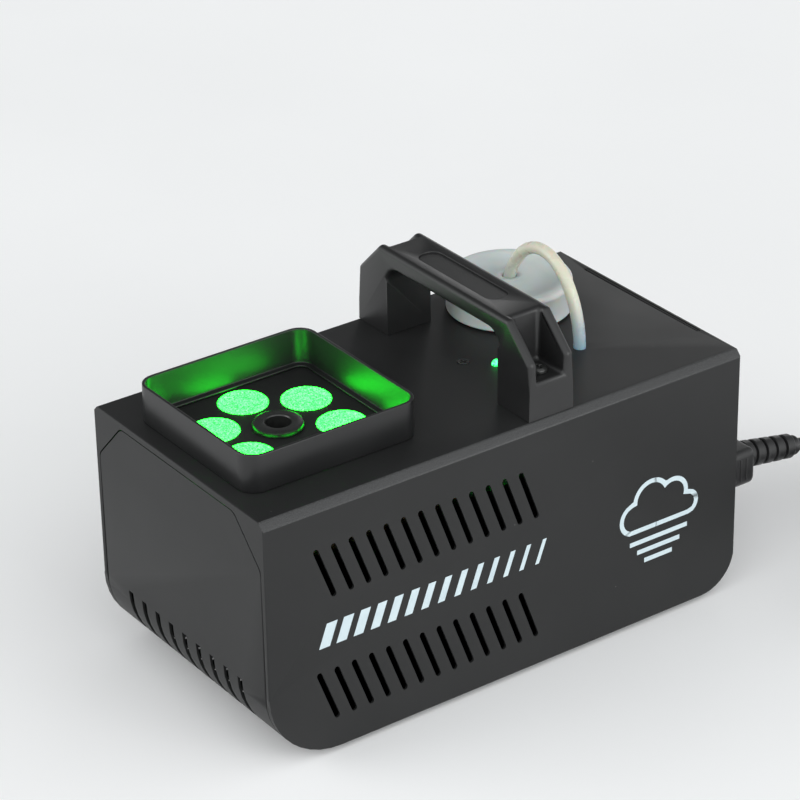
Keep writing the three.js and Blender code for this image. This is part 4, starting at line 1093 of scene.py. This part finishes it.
@dataclass
class LightUnit:
    """The square hood, the six lit lenses under it and the fog nozzle.

    Attributes:
        count: how many lenses stand in the ring.
    """

    count: int = 6

    def build(self) -> list[bpy.types.Object]:
        """Makes every piece of the light unit."""
        hood = refined("light_hood", 0.00045, 3, HOOD_COAT, "hood_body")
        board = refined("led_board", 0.0002, 1)
        plate = refined("led_heat_plate", 0.0003, 1)
        return [hood, board, plate, *(self._lens(i + 1) for i in range(self.count)), self._nozzle()]

    def _lens(self, number: int) -> bpy.types.Object:
        """Makes one lens: a cone with a lit face of rings.

        Args:
            number: which lens it is.

        Returns:
            The finished object.
        """
        node = f"led_lens_{number}"
        middle, reach, foot, top = upright(node)
        piece = Piece(f"{node}_glass", GREEN_LENS, (node,))
        face = [(0.0, top - 0.0010), (0.0012, top - 0.0006), (0.0022, top - 0.0011), (0.0032, top - 0.0007),
                (0.0046, top - 0.0010), (0.0075, top - 0.0008), (0.0092, top - 0.0010),
                (0.0097, top - 0.0013), (0.0101, top - 0.0005), (reach - 0.0004, top - 0.0004),
                (reach, top - 0.0008)]
        pocket, roof = 0.0028, foot + 0.0026
        cone = [(reach, foot + 0.0092), (0.0054, foot), (pocket, foot), (pocket, roof), (0.0, roof)]
        piece.spun(face + cone, 56, centre=middle)
        made = piece.done()
        ring = made.data.attributes.new("ring", "FLOAT", "POINT")
        ring.data.foreach_set("value", [math.hypot(v.co.x - middle[0], v.co.y - middle[1])
                                        for v in made.data.vertices])
        return made

    @staticmethod
    def _nozzle() -> bpy.types.Object:
        """Makes the nozzle, a turned flange round a dark bore."""
        middle, reach, foot, top = upright("nozzle")
        jet, neck, socket = 0.0020, 0.0086, 0.0048
        throat, stop = top - 0.0087, top - 0.0127
        piece = Piece("nozzle_body", NOZZLE_METAL, ("nozzle",))
        piece.spun([(jet, throat), (0.0056, top - 0.0080), (0.0060, top - 0.0006), (0.0064, top - 0.0001),
                    (0.0068, top), (reach - 0.0012, top), (reach - 0.0004, top - 0.0004),
                    (reach, top - 0.0012), (reach, top - 0.0024), (neck, top - 0.0025), (neck, foot),
                    (socket, foot), (socket, stop), (jet, stop), (jet, throat)], 64, centre=middle)
        return piece.done()


@dataclass
class FluidUnit:
    """The tank with its cap and hose, and the pump that feeds the heater.

    Attributes:
        ribs: how many fine ribs go round the cap's skirt.
        rib_depth: how deep each is.
        hose_route: points from the tank's floor to the pump, in millimetres.
    """

    ribs: int = 132
    rib_depth: float = 0.00032
    hose_route: tuple[Point, ...] = (
        (-33.2, 72.9, 27.6), (-33.2, 72.9, 63.0), (-33.2, 72.9, 110.5), (-33.2, 72.9, 140.0),
        (-33.1, 72.9, 145.5), (-31.4, 72.9, 151.0), (-27.2, 72.9, 158.2), (-20.6, 72.9, 165.4),
        (-12.2, 72.9, 169.6), (-3.6, 72.9, 169.9), (4.6, 72.9, 166.6), (11.6, 72.9, 160.0),
        (17.2, 72.9, 150.4), (20.6, 72.9, 139.0), (21.4, 72.9, 130.0), (21.4, 72.9, 118.5),
        (22.4, 69.9, 96.5), (33.4, 55.9, 74.5), (57.0, 42.5, 58.0), (63.0, 26.5, 40.0),
        (57.0, 20.5, 30.5), (50.0, 20.5, 30.0), (45.4, 20.5, 30.0),
    )

    def build(self) -> list[bpy.types.Object]:
        """Makes every piece of the fluid unit."""
        hose = self._hose()
        turned = [refined(name, 0.0003, 1) for name in
                  ("fluid_tank", "cap_liner", "intake_filter", "pump_core", "pump_plunger", "pump_winding",
                   "pump_yoke", "pump_pad", "tank_tray", "feed_tube")]
        return [self._cap(), hose, *turned]

    def _hose(self) -> bpy.types.Object:
        """Makes the hose, which leaves the cap at one end and is held in the top plate at the other."""
        line = through([tuple(value * MM for value in point) for point in self.hose_route])
        drawn = flexible("hose_line", line, 0.003, HOSE)
        mesh = bpy.data.meshes.new_from_object(drawn.evaluated_get(bpy.context.evaluated_depsgraph_get()))
        bpy.data.objects.remove(drawn)
        smoothed(mesh, 60)
        hose = bpy.data.objects.new("fluid_hose", mesh)
        bpy.context.scene.collection.objects.link(hose)
        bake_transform(hose)
        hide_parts("suction_hose")
        return hose

    def _cap(self) -> bpy.types.Object:
        """Makes the screw cap, with its ribbed skirt, its rounded rim and a boss round the hose."""
        middle, reach, foot, top = upright("tank_cap")
        hole, wall, soft, sunk = 0.0036, 0.0034, 0.0022, 0.0007
        piece = Piece("cap_body", CAP_PLASTIC, ("tank_cap",))
        quarter = [math.radians(angle) for angle in (0, 22.5, 45, 67.5, 90)]
        rim = [(reach - soft + soft * math.cos(a), top - soft + soft * math.sin(a)) for a in quarter]
        ceiling = top - wall + 0.0003
        profile = [(hole, ceiling), (reach - wall, ceiling), (reach - wall, foot), (reach - 0.0006, foot),
                   (reach, foot + 0.0006), (reach, foot + 0.0012), (reach, foot + 0.0016),
                   (reach, top - 0.0034), (reach, top - 0.0028), *rim, (reach - 0.0060, top - 0.0001),
                   (reach - 0.0066, top - sunk), (0.0075, top - sunk), (0.0067, top - 0.0001),
                   (0.0040, top), (hole, top - 0.0004), (hole, ceiling)]
        verts = piece.spun(profile, self.ribs * 2, centre=middle)
        span = math.tau / (self.ribs * 2)
        for vert in verts:
            across = Vector((vert.co.x - middle[0], vert.co.y - middle[1]))
            on_skirt = across.length > reach - 0.0001 and foot + 0.0014 < vert.co.z < top - 0.0030
            if on_skirt and round(math.atan2(across.y, across.x) / span) % 2:
                across *= 1 - self.rib_depth * 2 / reach
                vert.co.x, vert.co.y = middle[0] + across.x, middle[1] + across.y
        return piece.done(angle=50)


@dataclass
class Handle:
    """The moulded carrying handle, its steel brace and the lit indicator beside it.

    Attributes:
        round: how wide its long edges are rounded.
        fine: how wide the edges of its recess are rounded.
        screw_out: how far its screws stand from its middle.
        recess: half the length and half the width of the recess in its top.
    """

    round: float = 0.0023
    fine: float = 0.00035
    screw_out: float = 0.057
    recess: tuple[float, float] = (0.031, 0.0068)

    def build(self) -> list[bpy.types.Object]:
        """Makes every piece of the handle."""
        piece = Piece("handle_body", HANDLE_PLASTIC, ("handle",)).copied("handle")
        piece.eased(self.round, 4, 28, self._is_long)
        piece.eased(self.fine, 2, 50, self._is_fine)
        brace = refined("handle_brace", 0.0003, 1)
        return [piece.done(angle=38), brace, self._indicator()]

    def _is_long(self, edge: bmesh.types.BMEdge) -> bool:
        """Says whether an edge is one of the handle's big ones, away from its screw holes and top recess."""
        low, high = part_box("handle")
        middle_y = (low.y + high.y) / 2
        for vert in edge.verts:
            at_hole = math.hypot(abs(vert.co.x) - self.screw_out, vert.co.y - middle_y) < 0.004
            if at_hole or self._in_recess(vert, 0.0012) or vert.co.z < low.z + 0.0001:
                return False
        return True

    def _is_fine(self, edge: bmesh.types.BMEdge) -> bool:
        """Says whether an edge is round the recess in the handle's top."""
        return all(self._in_recess(vert, 0.0001) for vert in edge.verts)

    def _in_recess(self, vert: bmesh.types.BMVert, below: float) -> bool:
        """Says whether a vertex lies within the recess's outline, near the handle's top.

        Args:
            vert: the vertex.
            below: how far under the top it may lie.

        Returns:
            True where it does.
        """
        low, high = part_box("handle")
        half_long, half_wide = self.recess
        off_middle = abs(vert.co.y - (low.y + high.y) / 2)
        return vert.co.z > high.z - below and off_middle < half_wide and abs(vert.co.x) < half_long

    @staticmethod
    def _indicator() -> bpy.types.Object:
        """Makes the small lit dome in the top plate."""
        middle, _, foot, top = upright("status_led")
        rim, dome, step = 0.0028, 0.0024, foot + 0.0012
        piece = Piece("indicator_dome", GREEN_DOT, ("status_led",))
        piece.spun([(0.0, foot), (rim, foot), (rim, step), (dome, step), (dome, top - 0.0020),
                    (0.0021, top - 0.0011), (0.0014, top - 0.0003), (0.0, top)], 32, centre=middle)
        return piece.done()


@dataclass
class Heater:
    """The heater in its woven jacket, with its thermostat, straps and outlet pipe."""

    def build(self) -> list[bpy.types.Object]:
        """Makes every piece of the heater."""
        names = ("heater_block", "heater_jacket", "outlet_pipe", "thermostat", "heater_strap_front",
                 "heater_strap_rear", "heater_stand_front", "heater_stand_rear")
        return [refined(name, 0.0003, 1) for name in names]


@dataclass
class RearPanel:
    """The inlet, rocker switch, fog button and fuse on the rear panel, and the control board inside it."""

    def build(self) -> list[bpy.types.Object]:
        """Makes every piece of the rear panel."""
        fittings = [refined(name, 0.0004, 2) for name in
                    ("mains_inlet", "switch_housing", "rocker", "button_housing", "fuse_holder", "fuse_cap")]
        board = refined("control_board", 0.0002, 1)
        bracket = refined("board_bracket", 0.0002, 1)
        return [*fittings, self._button(), board, bracket]

    @staticmethod
    def _button() -> bpy.types.Object:
        """Makes the push button, with a hollow in its face for a fingertip."""
        low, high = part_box("fog_button")
        middle = ((low.x + high.x) / 2, 0.0, (low.z + high.z) / 2)
        reach, end = (high.x - low.x) / 2, high.y
        piece = Piece("button_head", RED_PLASTIC, ("fog_button",))
        piece.spun([(0.0, low.y), (reach, low.y), (reach, end - 0.0007), (reach - 0.0003, end - 0.0002),
                    (reach - 0.0009, end), (reach - 0.0016, end - 0.0002), (0.0022, end - 0.0007),
                    (0.0, end - 0.0008)], 48, Axis.Y, middle)
        return piece.done()


@dataclass
class Studio:
    """The floor, the soft lights and the pale surroundings.

    Attributes:
        reach: half the floor's side.
    """

    reach: float = 4.0

    def build(self) -> list[bpy.types.Object]:
        """Makes the floor, the lamps and the world."""
        floor = self._floor()
        self._world()
        bpy.context.scene.view_settings.view_transform = "Standard"
        self._lamp("left_softbox", (-0.75, -1.55, 0.95), (0.0, -0.02, 0.06), 1.1, 8.4)
        self._lamp("right_softbox", (1.75, 0.25, 0.75), (0.0, 0.0, 0.06), 1.0, 9.0)
        self._lamp("rear_softbox", (-1.1, 1.25, 0.62), (0.0, 0.12, 0.13), 0.6, 1.4)
        return [floor]

    def _floor(self) -> bpy.types.Object:
        """Makes the plain pale floor."""
        work = bmesh.new()
        bmesh.ops.create_grid(work, x_segments=1, y_segments=1, size=self.reach)
        mesh = bpy.data.meshes.new("floor")
        work.to_mesh(mesh)
        work.free()
        floor = bpy.data.objects.new("floor", mesh)
        bpy.context.scene.collection.objects.link(floor)
        paper = Finish("pale_paper", (0.92, 0.92, 0.92), (0.94, 0.94, 0.94), (0.7, 0.8), patches=4,
                       grain=300, depth=0.00001, shine=0.2)
        mesh.materials.append(paper.material())
        return floor

    @staticmethod
    def _world() -> None:
        """Gives the scene pale, even surroundings."""
        world = bpy.data.worlds.new("studio")
        world.use_nodes = True
        tree = world.node_tree
        direction = tree.nodes.new("ShaderNodeTexCoord")
        facing = tree.nodes.new("ShaderNodeVectorMath")
        facing.operation = "DOT_PRODUCT"
        facing.inputs[1].default_value = Vector((-0.62, 0.36, 0.70)).normalized()
        fade = tree.nodes.new("ShaderNodeMapRange")
        for name, value in (("From Min", 0.15), ("From Max", 0.9), ("To Min", 1.42), ("To Max", 0.16)):
            fade.inputs[name].default_value = value
        tree.links.new(direction.outputs["Generated"], facing.inputs[0])
        tree.links.new(facing.outputs["Value"], fade.inputs["Value"])
        sky = tree.nodes["Background"]
        tree.links.new(fade.outputs["Result"], sky.inputs["Strength"])
        sky.inputs["Color"].default_value = (0.97, 0.99, 1.0, 1.0)
        bpy.context.scene.world = world

    @staticmethod
    def _lamp(name: str, place: Point, towards: Point, size: float, power: float) -> bpy.types.Object:
        """Hangs a square soft light.

        Args:
            name: the light's name.
            place: where it hangs.
            towards: the point that it faces.
            size: the side of its square.
            power: its power in watts.

        Returns:
            The light's object.
        """
        data = bpy.data.lights.new(name, "AREA")
        data.energy = power
        data.size = size
        lamp = bpy.data.objects.new(name, data)
        lamp.location = place
        lamp.rotation_euler = (Vector(towards) - Vector(place)).to_track_quat("-Z", "Y").to_euler()
        bpy.context.scene.collection.objects.link(lamp)
        return lamp


def main() -> None:
    """Builds every sub-assembly in order and reports its pieces."""
    logging.basicConfig(level=logging.INFO, format="%(name)s: %(message)s")
    parts = (Camera(), MainsLead(), Case(), LightUnit(), FluidUnit(), Handle(), Heater(), RearPanel(),
             Studio())
    for part in parts:
        built = part.build()
        for made in built if isinstance(built, list) else [built]:
            LOG.info("%s: %s", type(part).__name__, made.name)


if __name__ == "__main__":
    main()
